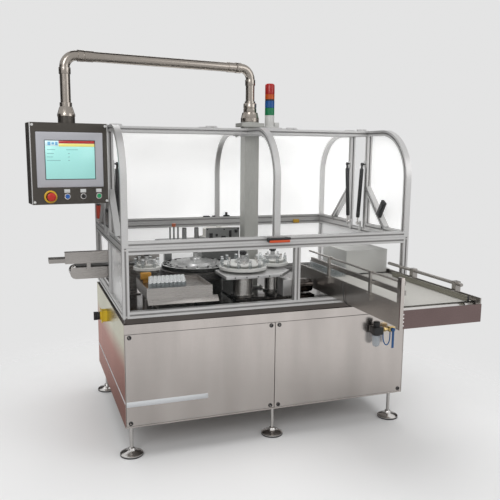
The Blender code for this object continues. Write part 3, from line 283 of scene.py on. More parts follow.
def ring_of(piece, name, count, centre, start=0.0):
    """Copies of a piece turned round a vertical axis, joined; the first piece is used up."""
    around = []
    for k in range(count):
        angle = start + math.tau * k / count
        c, s = math.cos(angle), math.sin(angle)
        move = (centre[0] - (centre[0] * c - centre[1] * s),
                centre[1] - (centre[0] * s + centre[1] * c), 0.0)
        around.append(copy_of(piece, f"{name}_{k}", move, (0.0, 0.0, angle)))
    bpy.data.objects.remove(piece, do_unlink=True)
    return join(name, around)


def join(name, pieces):
    """Joins pieces into one object."""
    clear_selection()
    for piece in pieces:
        piece.select_set(True)
    bpy.context.view_layer.objects.active = pieces[0]
    if len(pieces) > 1:
        bpy.ops.object.join()
    pieces[0].name = name
    return pieces[0]


def mirror_back(piece, name):
    """The mirror image of a piece in the machine's middle plane."""
    only(piece)
    bpy.ops.object.duplicate(linked=False)
    twin = bpy.context.active_object
    twin.name = name
    twin.scale = (1.0, -1.0, 1.0)
    twin.location = (0.0, 2 * MID_Y, 0.0)
    settle(twin)
    edit(twin)
    close_edit()
    return soften(twin)


def carve(piece, cutter):
    """Takes a cutter out of a piece."""
    step = piece.modifiers.new("carve", "BOOLEAN")
    step.operation = "DIFFERENCE"
    step.solver = "EXACT"
    step.object = cutter
    only(piece)
    bpy.ops.object.modifier_apply(modifier=step.name)
    bpy.data.objects.remove(cutter, do_unlink=True)
    return piece


def paint(piece, look):
    """Gives a piece one finish."""
    piece.data.materials.clear()
    piece.data.materials.append(look)
    return piece


def dress(piece, body, *nodes, look=None, slot=None):
    """Moves a finished piece to the frame, paints it if a finish is given, parents it to its body's empty
    and hides the frame nodes it stands for.
    """
    if look:
        paint(piece, look)
    piece.location = SHIFT
    settle(piece)
    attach(piece, body)
    if nodes:
        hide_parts(*nodes)
    return piece


# Finishes
def feed(tree, made, sockets):
    """Gives a node's sockets their values, or the outputs that feed them."""
    for socket, value in sockets.items():
        if isinstance(value, bpy.types.NodeSocket):
            tree.links.new(value, made.inputs[socket])
        else:
            made.inputs[socket].default_value = value
    return made


def node(tree, kind, sockets=None, **settings):
    """Adds a node with its settings, and then its sockets."""
    made = tree.nodes.new(f"ShaderNode{kind}")
    for name, value in settings.items():
        setattr(made, name, value)
    return feed(tree, made, sockets or {})


def ranged(tree, value, low, high, start=0.3, stop=0.7):
    """A value carried from one range to another."""
    return node(tree, "MapRange", {"Value": value, "From Min": start, "From Max": stop,
                                   "To Min": low, "To Max": high}).outputs["Result"]


def mixed(tree, share, first, second, blend="MIX"):
    """Two colours mixed by a share."""
    return node(tree, "Mix", {"Factor": share, "A": first, "B": second}, data_type="RGBA",
                blend_type=blend).outputs["Result"]


def new_look(name):
    """A new material, its tree and its shader."""
    made = bpy.data.materials.new(name)
    made.use_nodes = True
    return made, made.node_tree, made.node_tree.nodes["Principled BSDF"]


def surface(name, colour, rough=0.4, metal=0.0, grain=EVEN, fine=90.0, depth=0.1, cloud=0.08,
            drift=EVEN, spread=0.06, bump=0.02, painted_reflection=None, **sockets):
    """A finish with fine grain, soft clouding, uneven gloss and a slight relief.

    A painted reflection is given as (axis, edge, lower colour, upper colour): it tones the base colour and
    specular tint of the end below that edge to stand for darker surroundings, one colour low down, another
    higher up.
    """
    made = bpy.data.materials.get(f"{name}_finish")
    if made:
        return made
    made, tree, shader = new_look(f"{name}_finish")
    place = node(tree, "TexCoord").outputs["Object"]

    def noise(scale, stretch, detail):
        """Noise over the piece's own place, with a scale for each axis."""
        mapped = node(tree, "Mapping", {"Vector": place, "Scale": [scale * s for s in stretch]})
        return node(tree, "TexNoise", {"Vector": mapped.outputs["Vector"], "Scale": 1.0,
                                       "Detail": detail}).outputs["Fac"]

    grains, soft = noise(fine, grain, 3.0), noise(2.6, drift, 2.0)
    tone = node(tree, "Math", {0: ranged(tree, grains, 1.0 - depth, 1.0 + depth),
                               1: ranged(tree, soft, 1.0 - cloud, 1.0 + cloud)}, operation="MULTIPLY")
    result = mixed(tree, 1.0, (*colour, 1.0), tone.outputs["Value"], "MULTIPLY")
    # Painted reflection: the end below the edge takes a darker tinted colour and specular tint for the
    # surroundings it reflects
    if painted_reflection:
        axis, edge, low_reflection, high_reflection = painted_reflection
        split = node(tree, "SeparateXYZ", {"Vector": place}).outputs
        reflection_mask = ranged(tree, split[axis], 1.0, 0.0, edge - 0.0006, edge)
        reflection_colour = mixed(tree, ranged(tree, split["Z"], 0.0, 1.0, 0.44, 0.56), (*low_reflection, 1.0),
                     (*high_reflection, 1.0))
        result = mixed(tree, reflection_mask, result, reflection_colour, "MULTIPLY")
        feed(tree, shader, {"Specular Tint": mixed(tree, reflection_mask, WHITE, reflection_colour)})
    relief = node(tree, "Bump", {"Strength": bump, "Distance": 0.0006, "Height": grains})
    feed(tree, shader, {"Base Color": result, "Normal": relief.outputs["Normal"], "Metallic": metal,
                        "Roughness": ranged(tree, grains, rough - spread, rough + spread)})
    feed(tree, shader, {socket.replace("_", " "): value for socket, value in sockets.items()})
    made.diffuse_color = (*colour, 1.0)
    return made


def sheet_look(name, colour, cover, rough=0.08, glow=0.0):
    """Plastic sheet that lets light through: how much it covers varies a little over the sheet, and glow
    adds painted light as emission.
    """
    made = bpy.data.materials.get(f"{name}_finish")
    if made:
        return made
    made, tree, shader = new_look(f"{name}_finish")
    place = node(tree, "TexCoord").outputs["Object"]
    soft = node(tree, "TexNoise", {"Vector": place, "Scale": 2.4, "Detail": 3.0}).outputs["Fac"]
    feed(tree, shader, {"Alpha": ranged(tree, soft, cover * 0.88, min(1.0, cover * 1.12)),
                        "Roughness": ranged(tree, soft, rough * 0.8, rough * 1.3),
                        "Base Color": (*colour, 1.0), "IOR": 1.49})
    # Painted light: emission that makes the sheet glow as if lit through
    if glow:
        feed(tree, shader, {"Emission Color": WHITE, "Emission Strength": glow})
    made.diffuse_color = (*colour, cover)
    return made


def steel():
    """Brushed cabinet sheet, grained upright, with a painted reflection that makes its left side warmer and
    darker.
    """
    # Painted reflection on the left side: reddish low down, paler higher up
    side = ("X", SHELL_LOW.x + 0.0012, (0.72, 0.49, 0.45), (0.88, 0.89, 0.8))
    return surface("brushed_steel", colours().steel, 0.23, 0.97, (1.0, 1.0, 0.01), 1400.0, 0.022, 0.12,
                   (2.2, 2.2, 0.45), 0.02, 0.006, side)


def dark_steel():
    """Brushed sheet of the infeed conveyor and of the tray."""
    return surface("fitted_steel", (0.4, 0.378, 0.36), 0.28, 0.95, (0.012, 1.0, 1.0), 1200.0, 0.015, 0.1,
                   (1.6, 1.6, 1.6), 0.02, 0.004)


def outfeed_steel():
    """Brushed sheet of the collecting conveyor, whose end plate has the dark room in front of it painted in
    as a reflection.
    """
    # Painted reflection of the dark room in front of the end plate
    dark = (0.52, 0.4, 0.41)
    return surface("outfeed_steel", (0.38, 0.36, 0.34), 0.28, 0.95, (0.012, 1.0, 1.0), 1200.0, 0.015, 0.1,
                   (1.6, 1.6, 1.6), 0.02, 0.004, ("Y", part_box("outfeed_frame")[0].y + 0.0075, dark, dark))


def aluminium():
    """Satin anodised profile."""
    return surface("anodised_profile", colours().aluminium, 0.4, 0.65, EVEN, 260.0, 0.05,
                   0.05, EVEN, 0.05, 0.01)


def painted_slot_shade():
    """Painted shade for the inside of the profile's slots."""
    return surface("slot_painted_shade", (0.36, 0.35, 0.345), 0.55, 0.3, EVEN, 260.0, 0.08, 0.08)


def bright_metal():
    """Polished round bar and screws."""
    return surface("polished_bar", (0.74, 0.72, 0.7), 0.18, 1.0, EVEN, 60.0, 0.03, 0.05,
                   EVEN, 0.02, 0.0)


def arm_metal():
    """Brushed tube and elbows of the arm."""
    return surface("brushed_tube", colours().arm, 0.22, 1.0, EVEN, 45.0, 0.03, 0.05,
                   EVEN, 0.015, 0.0)


def machined_bright():
    """Turned aluminium of the deck and the hubs."""
    return surface("turned_aluminium", (0.52, 0.52, 0.515), 0.3, 0.55, EVEN, 160.0, 0.05, 0.08,
                   EVEN, 0.04, 0.004)


def machined():
    """Dark machined plate of the table."""
    return surface("machined_plate", (0.095, 0.084, 0.078), 0.13, 1.0, (0.05, 1.0, 1.0), 500.0, 0.06,
                   0.12, EVEN, 0.03, 0.004)


def black_plastic():
    """Satin black moulded plastic."""
    return surface("black_plastic", (0.018, 0.018, 0.019), 0.42, 0.0, fine=900.0, depth=0.2, bump=0.06)


def white_plastic():
    """Machined white plastic of the wheels."""
    return surface("white_plastic", colours().plastic, 0.42, 0.0, fine=500.0, depth=0.03, cloud=0.05,
                   bump=0.03)


def coloured(name, colour, rough=0.32, **sockets):
    """Moulded plastic in a plain colour."""
    return surface(name, colour, rough, 0.0, fine=700.0, depth=0.04, cloud=0.05, bump=0.03, **sockets)


# Slotted profile
def section(name, four_sides=True):
    """The profile's section, lying flat: a square with a slot cut into two or four of its sides."""
    clear_selection()
    p = sizes().profile
    bpy.ops.mesh.primitive_grid_add(x_subdivisions=5, y_subdivisions=5, size=p)
    piece = settle(bpy.context.active_object)
    piece.name = name
    wider = sizes().slot / (p / 5)
    pick(piece, lambda co, n: abs(co.x) < p * 0.11, "VERT")
    bpy.ops.transform.resize(value=(wider, 1.0, 1.0), center_override=(0.0, 0.0, 0.0))
    pick(piece, lambda co, n: abs(co.y) < p * 0.11, "VERT")
    bpy.ops.transform.resize(value=(1.0, wider, 1.0), center_override=(0.0, 0.0, 0.0))
    half = sizes().slot / 2
    rim = p * 0.3
    pick(piece, lambda co, n: (abs(co.y) < half and abs(co.x) > rim)
         or (four_sides and abs(co.x) < half and abs(co.y) > rim))
    bpy.ops.mesh.delete(type="FACE")
    bpy.ops.object.mode_set(mode="OBJECT")
    return piece


def paint_slot_shade(piece, rule):
    """Gives a bar of profile its finish, and the faces down in its slots a darker one as painted shade."""
    paint(piece, aluminium())
    piece.data.materials.append(painted_slot_shade())
    for face in piece.data.polygons:
        if rule(face.center):
            face.material_index = 1
    return piece


def bar(name, axis, centre, start, end, four_sides=True):
    """A length of slotted profile along an axis, at the section's centre in the other two."""
    piece = section(name, four_sides)
    edit(piece)
    bpy.ops.mesh.extrude_region_move(TRANSFORM_OT_translate={"value": (0.0, 0.0, end - start)})
    close_edit()
    skin, middle = sizes().profile / 2 - 0.0004, (end - start) / 2
    # The faces inside the slots take painted shade
    paint_slot_shade(piece, lambda co: max(abs(co.x), abs(co.y)) < skin and abs(co.z - middle) < middle - 1e-4)
    quarter = math.pi / 2
    if axis == "Z":
        piece.location = (centre[0], centre[1], start)
    elif axis == "X":
        piece.rotation_euler = (0.0, quarter, 0.0)
        piece.location = (start, centre[0], centre[1])
    else:
        piece.rotation_euler = (-quarter, 0.0, 0.0)
        piece.location = (centre[0], start, centre[1])
    return settle(piece)


def bent(piece, inset, foot_z, start_y):
    """Carries a section that stands at the hood's top round the bend and down to the foot."""
    radius = sizes().arch_radius
    top = BEAM_TOP - inset
    piece.rotation_euler = (math.pi / 2, 0.0, 0.0)
    piece.location = (0.0, start_y, top)
    settle(piece)
    edit(piece)
    bpy.ops.mesh.extrude_region_move(TRANSFORM_OT_translate={"value": (0.0, radius - start_y, 0.0)})
    bpy.ops.mesh.spin(steps=20, angle=-math.pi / 2, center=(0.0, radius, BEAM_TOP - radius),
                      axis=(1.0, 0.0, 0.0))
    drop = foot_z - (BEAM_TOP - radius)
    bpy.ops.mesh.extrude_region_move(TRANSFORM_OT_translate={"value": (0.0, 0.0, drop)})
    close_edit()
    return piece


def arch(name, x, foot_z):
    """One bent length of profile of the front hood."""
    half = sizes().profile / 2
    piece = bent(section(name, False), half, foot_z, MID_Y - HINGE_OFFSET - sizes().profile - HINGE_GAP)
    hub, run = (sizes().arch_radius, BEAM_TOP - sizes().arch_radius), sizes().arch_radius - half

    def in_slot(co):
        """Whether a face lies in the slot, by its distance from the arch's centre line."""
        if co.y < hub[0] and co.z > hub[1]:
            away = abs(math.hypot(co.y - hub[0], co.z - hub[1]) - run)
        else:
            away = min(abs(co.y - half), abs(co.z - (BEAM_TOP - half)))
        return away < half * 0.4 and half * 0.5 < abs(co.x) < half - 0.0002

    # The faces inside the arch's slots take painted shade
    paint_slot_shade(piece, in_slot)
    piece.location.x = x
    settle(piece)
    return soften(piece, 25.0)


# Hoods
def hood_frame():
    """The front hood's frame in one object: rails, arches, end posts, braces and hinge leaves."""
    p = sizes().profile
    half = p / 2
    w = HALF_WIDTH
    top, low = BEAM_TOP - half, HOOD_BOTTOM + half
    hinge_y = MID_Y - HINGE_OFFSET - HINGE_GAP - half
    parts = [bar("hinge_rail", "X", (hinge_y, top), -w, w),
             bar("foot_rail", "X", (half, low), -w + p, w - p),
             arch("arch_left", -w + half, HOOD_BOTTOM), arch("arch_right", w - half, HOOD_BOTTOM),
             arch("arch_middle", RIB_X, low + half)]
    for x in (-w + half, w - half):
        parts.append(bar("end_post", "Z", (x, POST_Y), HOOD_BOTTOM, top - half))
        parts.append(bar("end_rail", "Y", (x, low), p, POST_Y - half))
        brace = bar("brace", "Z", (0.0, 0.0), 0.0, math.hypot(BRACE_SPAN, BRACE_SPAN), False)
        brace.rotation_euler = (-math.pi / 4, 0.0, 0.0)
        brace.location = (x, 0.204, low + 0.008)
        parts.append(settle(brace))
        inner = x - math.copysign(half, x)
        reach = sorted((inner, inner - math.copysign(0.0042, x)))
        parts.append(slab("strut_bracket", (reach[0], POST_Y - 0.012, 1.372),
                          (reach[1], MID_Y - 0.078, 1.408)))
    y = MID_Y - HINGE_OFFSET
    for x in HINGE_XS:
        parts.append(rod_between("hinge_pin", (x - 0.029, y, HINGE_Z), (x + 0.029, y, HINGE_Z), 0.0023, 12))
        for dx in (-0.0205, 0.0205):
            parts.append(rod_between("barrel", (x + dx - 0.0098, y, HINGE_Z), (x + dx + 0.0098, y, HINGE_Z),
                                     0.0054, 20))
            parts.append(slab("leaf", (x + dx - 0.0098, y - 0.026, BEAM_TOP), (x + dx + 0.0098, y - 0.003,
                                                                              BEAM_TOP + 0.003), 0.0005))
    return join("hood_front_bars", [part if part.data.materials else paint(part, aluminium())
                                    for part in parts])


def bent_sheet(name, low, high):
    """A bent sheet between two ribs, with its edges in their slots."""
    t, p = sizes().glazing, sizes().profile
    clear_selection()
    bpy.ops.mesh.primitive_plane_add(size=1.0, location=((low + high) / 2, 0.0, 0.0))
    strip = bpy.context.active_object
    strip.scale = (high - low, t, 1.0)
    settle(strip)
    bent(strip, p / 2, HOOD_BOTTOM + p - SEAT, MID_Y - HINGE_OFFSET - p - HINGE_GAP + SEAT)
    strip.name = name
    return soften(strip, 25.0)


def end_sheet(name, side):
    """The flat sheet of an end frame: a quarter disc carried down and back.

    On the left it sits inside the bars, round the foot rail. On the right it lies on their outer faces.
    """
    t, p = sizes().glazing, sizes().profile
    outside = side > 0
    face = HALF_WIDTH + 0.0002 if outside else -(HALF_WIDTH - p - 0.0004)
    hub = (sizes().arch_radius, BEAM_TOP - sizes().arch_radius)
    clear_selection()
    bpy.ops.mesh.primitive_circle_add(vertices=96, radius=hub[0] - (0.005 if outside else p / 2),
                                      fill_type="NGON", rotation=(0.0, math.pi / 2, 0.0),
                                      location=(face, *hub))
    pane = settle(bpy.context.active_object)
    pane.name = name
    edit(pane)
    bpy.ops.mesh.bisect(plane_co=(0.0, *hub), plane_no=(0.0, 0.0, 1.0), clear_inner=True)
    bpy.ops.mesh.select_all(action="SELECT")
    bpy.ops.mesh.bisect(plane_co=(0.0, *hub), plane_no=(0.0, 1.0, 0.0), clear_outer=True)
    bpy.ops.object.mode_set(mode="OBJECT")
    above_rail, bottom = HOOD_BOTTOM + p + 0.0006, HOOD_BOTTOM + (0.004 if outside else 0.0006)
    rear = POST_Y + (0.011 if outside else -0.0156)

    def pull(rule, move):
        """Carries the picked edges along, leaving a face behind them."""
        pick(pane, rule, "EDGE")
        bpy.ops.mesh.extrude_region_move(TRANSFORM_OT_translate={"value": move})
        bpy.ops.object.mode_set(mode="OBJECT")

    if outside:
        pull(lambda co, d: abs(co.z - hub[1]) < 1e-4 and abs(d.z) < 0.1, (0.0, 0.0, bottom - hub[1]))
    else:
        pull(lambda co, d: abs(co.z - hub[1]) < 1e-4 and abs(d.z) < 0.1, (0.0, 0.0, above_rail - hub[1]))
        edit(pane)
        bpy.ops.mesh.bisect(plane_co=(0.0, p + 0.0006, 0.0), plane_no=(0.0, 1.0, 0.0))
        bpy.ops.object.mode_set(mode="OBJECT")
        pull(lambda co, d: abs(co.z - above_rail) < 1e-4 and abs(d.z) < 0.1 and co.y > p + 0.0006,
             (0.0, 0.0, bottom - above_rail))
    pull(lambda co, d: abs(co.y - hub[0]) < 1e-4 and abs(d.y) < 0.1, (0.0, rear - hub[0], 0.0))
    edit(pane)
    bpy.ops.mesh.extrude_region_move(TRANSFORM_OT_translate={"value": (t, 0.0, 0.0)})
    close_edit()
    return pane


def make_hoods():
    """Both hoods: bars, bent sheets, end sheets, handle and the interlock box."""
    bars = hood_frame()
    clear = sheet_look("clear_sheet", colours().clear, 0.035)
    # The opal sheets glow with painted light
    opal = sheet_look("opal_sheet", colours().opal, 0.97, 0.45, 0.47)
    dress(mirror_back(bars, "hood_rear_bars"), "rear_hood", "hood_rear_frame", slot="aluminium")
    dress(bars, "front_hood", "hood_front_frame", slot="aluminium")
    reach, rib = HALF_WIDTH - sizes().profile + SEAT, sizes().profile / 2 - SEAT
    sheets = [bent_sheet("hood_front_left_sheet", -reach, RIB_X - rib),
              bent_sheet("hood_front_right_sheet", RIB_X + rib, reach)]
    sheets += [end_sheet("hood_front_left_end", -1), end_sheet("hood_front_right_end", 1)]
    for sheet, rear_look, front_look in zip(sheets, (opal, opal, clear, opal), (clear, clear, clear, opal)):
        twin = mirror_back(sheet, sheet.name.replace("front", "rear"))
        dress(twin, "rear_hood", "hood_rear_glazing", look=rear_look, slot="clear_sheet")
        dress(sheet, "front_hood", "hood_front_glazing", look=front_look, slot="clear_sheet")
    grip = slab("handle_top", (-0.056, -0.0375, 1.0362), (0.06, -0.0245, 1.0478), 0.003, 3)
    paint(grip, black_plastic())
    lower = slab("handle_bar", (-0.05, -0.037, 1.0232), (0.056, -0.025, 1.036), 0.003, 3)
    paint(lower, coloured("signal_red", (0.72, 0.1, 0.03)))
    lugs = [paint(slab("handle_lug", (x, -0.03, 1.025), (x + 0.016, -0.0002, 1.046), 0.002),
                  black_plastic()) for x in (-0.052, 0.04)]
    dress(join("hood_handle_grip", [grip, lower] + lugs), "front_hood", "hood_handle",
          slot="black_plastic")
    latch = slab("interlock_box", (0.7, -0.019, -0.05), (0.719, 0.019, 0.05), 0.004, 3)
    rim = slab("interlock_rim", (0.6985, -0.013, -0.04), (0.7005, 0.013, 0.04), 0.001)
    box = join("interlock_box", [latch, rim])
    box.rotation_euler = (math.radians(32.0), 0.0, 0.0)
    box.location = (0.0, 0.216, 1.15)
    settle(box)
    dress(box, "front_hood", look=black_plastic(), slot="black_plastic")


# Lower guard, table and cabinet
def keep_node(name, look, width=0.0007, segments=2):
    """Keeps a frame node: its finish is new, and its edges are broken by modifiers."""
    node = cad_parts[name]
    node.data.materials.clear()
    node.data.materials.append(look)
    weld = node.modifiers.new("weld", "WELD")
    weld.merge_threshold = 1e-6
    bevel = node.modifiers.new("edges", "BEVEL")
    bevel.width = width
    bevel.segments = segments
    bevel.limit_method = "ANGLE"
    bevel.angle_limit = math.radians(40.0)
    return node


def make_cabinet():
    """Cabinet sheets, the fasteners of the front panels, the plain stripe and the table."""
    for name in ("cabinet_shell", "cabinet_panel_left", "cabinet_panel_right"):
        keep_node(name, steel(), 0.0009)
    keep_node("table_plate", machined(), 0.001)
    knobs = []
    for name in ("cabinet_panel_left", "cabinet_panel_right"):
        low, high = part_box(name)
        for x in (low.x + 0.02, high.x - 0.02):
            for z in (low.z + 0.014, high.z - 0.014):
                spot = (x - SHIFT.x, -0.0002, z)
                knobs.append(turned("fastener", [(0.0104, 0.0), (0.0104, 0.0024), (0.009, 0.0034),
                                                 (0.006, 0.0036), (0.005, 0.0028)], 20, spot, "-Y"))
    dress(join("panel_fasteners", knobs), "machine", look=black_plastic(), slot="black_plastic")
    stripe = [slab("stripe_front", (-0.744, -0.0006, 0.268), (-0.349, 0.0002, 0.293), 0.0002, 1),
              slab("stripe_side", (-0.7504, 0.001, 0.282), (-0.7498, 1.02, 0.293), 0.0001, 1)]
    dress(join("plain_stripe", stripe), "machine",
          look=coloured("stripe_film", (0.74, 0.76, 0.78), 0.4))


def make_feet():
    """Six levelling feet: dark pad, bright domed collar, stem and lock nut."""
    pad_profile = [(0.054, 0.005), (0.0556, 0.006), (0.0556, 0.01), (0.052, 0.0125), (0.045, 0.0155),
                   (0.033, 0.0185), (0.023, 0.0215), (0.02, 0.024)]
    stem_profile = [(0.0195, 0.0235), (0.018, 0.029), (0.0155, 0.035), (0.009, 0.039),
                    (0.0088, 0.04), (0.0088, 0.146)]
    for row, y in (("front", 0.07), ("rear", 0.978)):
        for side, x in (("left", -0.714), ("mid", 0.018), ("right", 0.714)):
            pad = paint(turned("pad", pad_profile, 48, (x, y, 0.0)), bright_metal())
            sole = paint(turned("sole", [(0.0545, 0.0), (0.0562, 0.001), (0.0562, 0.0052), (0.055, 0.006)],
                                48, (x, y, 0.0)), black_plastic())
            stem = paint(turned("stem", stem_profile, 28, (x, y, 0.0)), bright_metal())
            nut = turned("nut", [(0.015, 0.144), (0.016, 0.1455), (0.016, 0.1632), (0.015, 0.1646)],
                         6, (x, y, 0.0))
            paint(nut, bright_metal())
            dress(join(f"levelling_foot_{row}_{side}", [pad, sole, stem, nut]), "machine",
                  f"foot_{row}_{side}", slot="chrome")


def make_guard():
    """Slotted frames round the table, their windows, the top rails and the column."""
    p = sizes().profile
    half = p / 2
    w = HALF_WIDTH
    low, high = GUARD_BOTTOM + half, GUARD_TOP - half
    for name, y, posts in (("front", half, (-w + half, 0.115, w - half)),
                           ("rear", GUARD_REAR - half, (-w + half, w - half))):
        parts = [bar("post", "Z", (x, y), GUARD_BOTTOM, GUARD_TOP) for x in posts if abs(x) > 0.5]
        parts += [bar("post", "Z", (x, y), low + half, high - half) for x in posts if abs(x) < 0.5]
        parts += [bar("rail", "X", (y, z), -w + p, w - p) for z in (low, high)]
        dress(join(f"guard_{name}_bars", parts), "machine", f"guard_{name}", slot="aluminium")
    for name, x, post_y in (("left", -w + half, 0.467), ("right", w - half, 0.43)):
        parts = [bar("rail", "Y", (x, z), p + 0.0004, GUARD_REAR - p - 0.0004) for z in (low, high)]
        parts.append(bar("post", "Z", (x, post_y), low + half, high - half))
        inner = x - math.copysign(half, x)
        reach = sorted((inner, inner - math.copysign(0.0042, x)))
        for y in (MID_Y - STRUT_FOOT[0], MID_Y + STRUT_FOOT[0]):
            parts.append(paint(slab("strut_foot", (reach[0], y - 0.012, GUARD_TOP - 0.02),
                                    (reach[1], y + 0.012, STRUT_FOOT[1] + 0.012), 0.0008), aluminium()))
        dress(join(f"guard_{name}_bars", parts), "machine", f"guard_{name}", slot="aluminium")
    clear = sheet_look("clear_window", colours().clear, 0.035)
    # The opal and side windows glow with painted light
    opal = sheet_look("opal_window", colours().opal, 0.95, 0.4, 0.4)
    haze = sheet_look("side_window", colours().opal, 0.45, 0.2, 0.05)
    for name, look in (("window_front", clear), ("window_rear", opal), ("window_left", haze),
                       ("window_right", haze)):
        keep_node(name, look, 0.0004, 1)
    keep_node("top_beam", aluminium(), 0.0005, 1)
    keep_node("column", surface("column_paint", colours().column, 0.4, 0.35, (1.0, 1.0, 0.2), 160.0,
                                0.05, 0.08), 0.002, 3)
    caps = []
    for x in (-w + half, w - half):
        for face, out in ((0.0, "-Y"), (GUARD_REAR, "Y")):
            for z in (GUARD_BOTTOM + 0.009, GUARD_TOP - 0.009):
                caps.append(turned("screw", [(0.0034, -0.0003), (0.0034, 0.0006), (0.0028, 0.0009)], 12,
                                   (x, face, z), out))
    dress(join("guard_screws", caps), "machine", look=bright_metal(), slot="chrome")


# Gas struts
def make_struts():
    """Gas struts: bright rods on the guard, black cylinders that slide on them."""
    length = math.hypot(STRUT_TOP[0] - STRUT_FOOT[0], STRUT_TOP[1] - STRUT_FOOT[1])
    lean = math.atan2(STRUT_TOP[0] - STRUT_FOOT[0], STRUT_TOP[1] - STRUT_FOOT[1])
    head = length - 0.024
    for row, side in (("front", -1), ("rear", 1)):
        for hand, x in (("left", -STRUT_X), ("right", STRUT_X)):
            out = "X" if x > 0 else "-X"
            eye = [(0.0085, -0.006), (0.009, -0.005), (0.009, 0.005), (0.0085, 0.006),
                   (0.004, 0.0062), (0.004, 0.0146)]
            lower = turned("eye", eye, 24, (0.0, 0.0, 0.0), out)
            rod = turned("rod", [(0.0039, 0.004), (0.0039, length - 0.043), (0.0033, length - 0.042)], 20)
            upper = turned("eye", eye, 24, (0.0, 0.0, length), out)
            tube = turned("tube", [(0.006, 0.034), (0.0085, 0.0345), (0.0109, 0.0385),
                                   (0.011, head - 0.006), (0.009, head - 0.001), (0.006, head),
                                   (0.0058, length - 0.004)], 28)
            collar = turned("collar", [(0.0112, 0.048), (0.0117, 0.0485), (0.0117, 0.0565), (0.0112, 0.057)],
                            28)
            for part, look, pieces, slot in (
                    ("rod", bright_metal(), [lower, rod], "chrome"),
                    ("cylinder", black_plastic(), [upper, tube, collar], "strut_black")):
                piece = join(f"gas_strut_{row}_{hand}_{part}", pieces)
                piece.rotation_euler = (-side * lean, 0.0, 0.0)
                piece.location = (x, MID_Y + side * STRUT_FOOT[0], STRUT_FOOT[1])
                settle(piece)
                dress(piece, f"{row}_{hand}_strut_{part}", f"strut_{row}_{hand}_{part}", look=look,
                      slot=slot)


# Operator panel
def swing(piece):
    """Turns a piece of the straight arm to the arm's place at rest."""
    c, s = math.cos(ARM_TURN), math.sin(ARM_TURN)
    piece.rotation_euler = (0.0, 0.0, ARM_TURN)
    piece.location = (COLUMN_X - (COLUMN_X * c - MID_Y * s), MID_Y - (COLUMN_X * s + MID_Y * c), 0.0)
    return settle(piece)


def make_arm():
    """The arm in one run of tube: riser, elbow, long tube, elbow and drop, with its collars."""
    r, bend = sizes().arm_radius, sizes().elbow_radius
    end, tube_foot = PANEL_X, 1.7
    clear_selection()
    bpy.ops.mesh.primitive_circle_add(vertices=32, radius=r, fill_type="NGON",
                                      location=(COLUMN_X, MID_Y, tube_foot))
    tube = settle(bpy.context.active_object)
    edit(tube)
    bpy.ops.mesh.extrude_region_move(TRANSFORM_OT_translate={"value": (0, 0, ARM_Z - bend - tube_foot)})
    bpy.ops.mesh.spin(steps=14, angle=math.pi / 2, center=(COLUMN_X - bend, MID_Y, ARM_Z - bend),
                      axis=(0.0, 1.0, 0.0))
    bpy.ops.mesh.extrude_region_move(
        TRANSFORM_OT_translate={"value": (end - COLUMN_X + 2 * bend, 0.0, 0.0)})
    bpy.ops.mesh.spin(steps=14, angle=math.pi / 2, center=(end + bend, MID_Y, ARM_Z - bend),
                      axis=(0.0, 1.0, 0.0))
    bpy.ops.mesh.extrude_region_move(
        TRANSFORM_OT_translate={"value": (0.0, 0.0, PANEL_TOP + 0.09 - ARM_Z + bend)})
    close_edit()
    soften(tube)
    parts = [tube]
    sleeve = [(r + 0.0002, 0.0), (0.0272, 0.0006), (0.0275, 0.002), (0.0275, 0.029), (0.0272, 0.0304),
              (r + 0.0002, 0.031)]
    fitted = [(r + 0.0002, 0.0), (0.0262, 0.0008), (0.0262, 0.045), (r + 0.0002, 0.0458)]
    for x in (COLUMN_X - 0.092, end + 0.061):
        parts.append(turned("sleeve", sleeve, 32, (x, MID_Y, ARM_Z), "X"))
    for x in (COLUMN_X, end):
        parts.append(turned("sleeve", sleeve, 32, (x, MID_Y, ARM_Z - 0.089)))
    parts.append(turned("fitted", fitted, 32, (COLUMN_X - 0.14, MID_Y, ARM_Z), "X"))
    parts.append(turned("fitted", fitted, 32, (end + 0.092, MID_Y, ARM_Z), "X"))
    foot = ARM_PIVOT_Z
    parts.append(turned("riser", [(0.048, 0.0), (0.05, 0.0015), (0.05, 0.021), (0.0485, 0.0225),
                                  (0.042, 0.05), (0.0352, 0.0525), (0.0355, 0.054), (0.0355, 0.072),
                                  (0.0335, 0.0735), (0.0335, 0.076), (0.0355, 0.0775), (0.0355, 0.0965),
                                  (0.033, 0.101), (0.029, 0.102), (0.0285, 0.111),
                                  (r + 0.0002, 0.112)], 40, (COLUMN_X, MID_Y, foot)))
    cone = PANEL_TOP + 0.0303
    parts.append(turned("cone", [(0.04, 0.0), (0.0418, 0.0015), (0.0418, 0.011), (0.0395, 0.017),
                                 (0.031, 0.044), (0.029, 0.047), (0.0285, 0.066),
                                 (r + 0.0002, 0.0675)], 40, (end, MID_Y, cone)))
    for x, z in ((COLUMN_X, foot + 0.012), (end, cone + 0.006)):
        reach = 0.049 if x == COLUMN_X else 0.0408
        parts.append(turned("set_screw", [(0.0042, 0.0), (0.0042, 0.0022), (0.003, 0.0026)], 12,
                            (x - 0.01, MID_Y - reach, z), "-Y"))
    dress(swing(join("panel_arm_tube", parts)), "panel_arm", "hmi_arm", look=arm_metal(), slot="arm_tube")


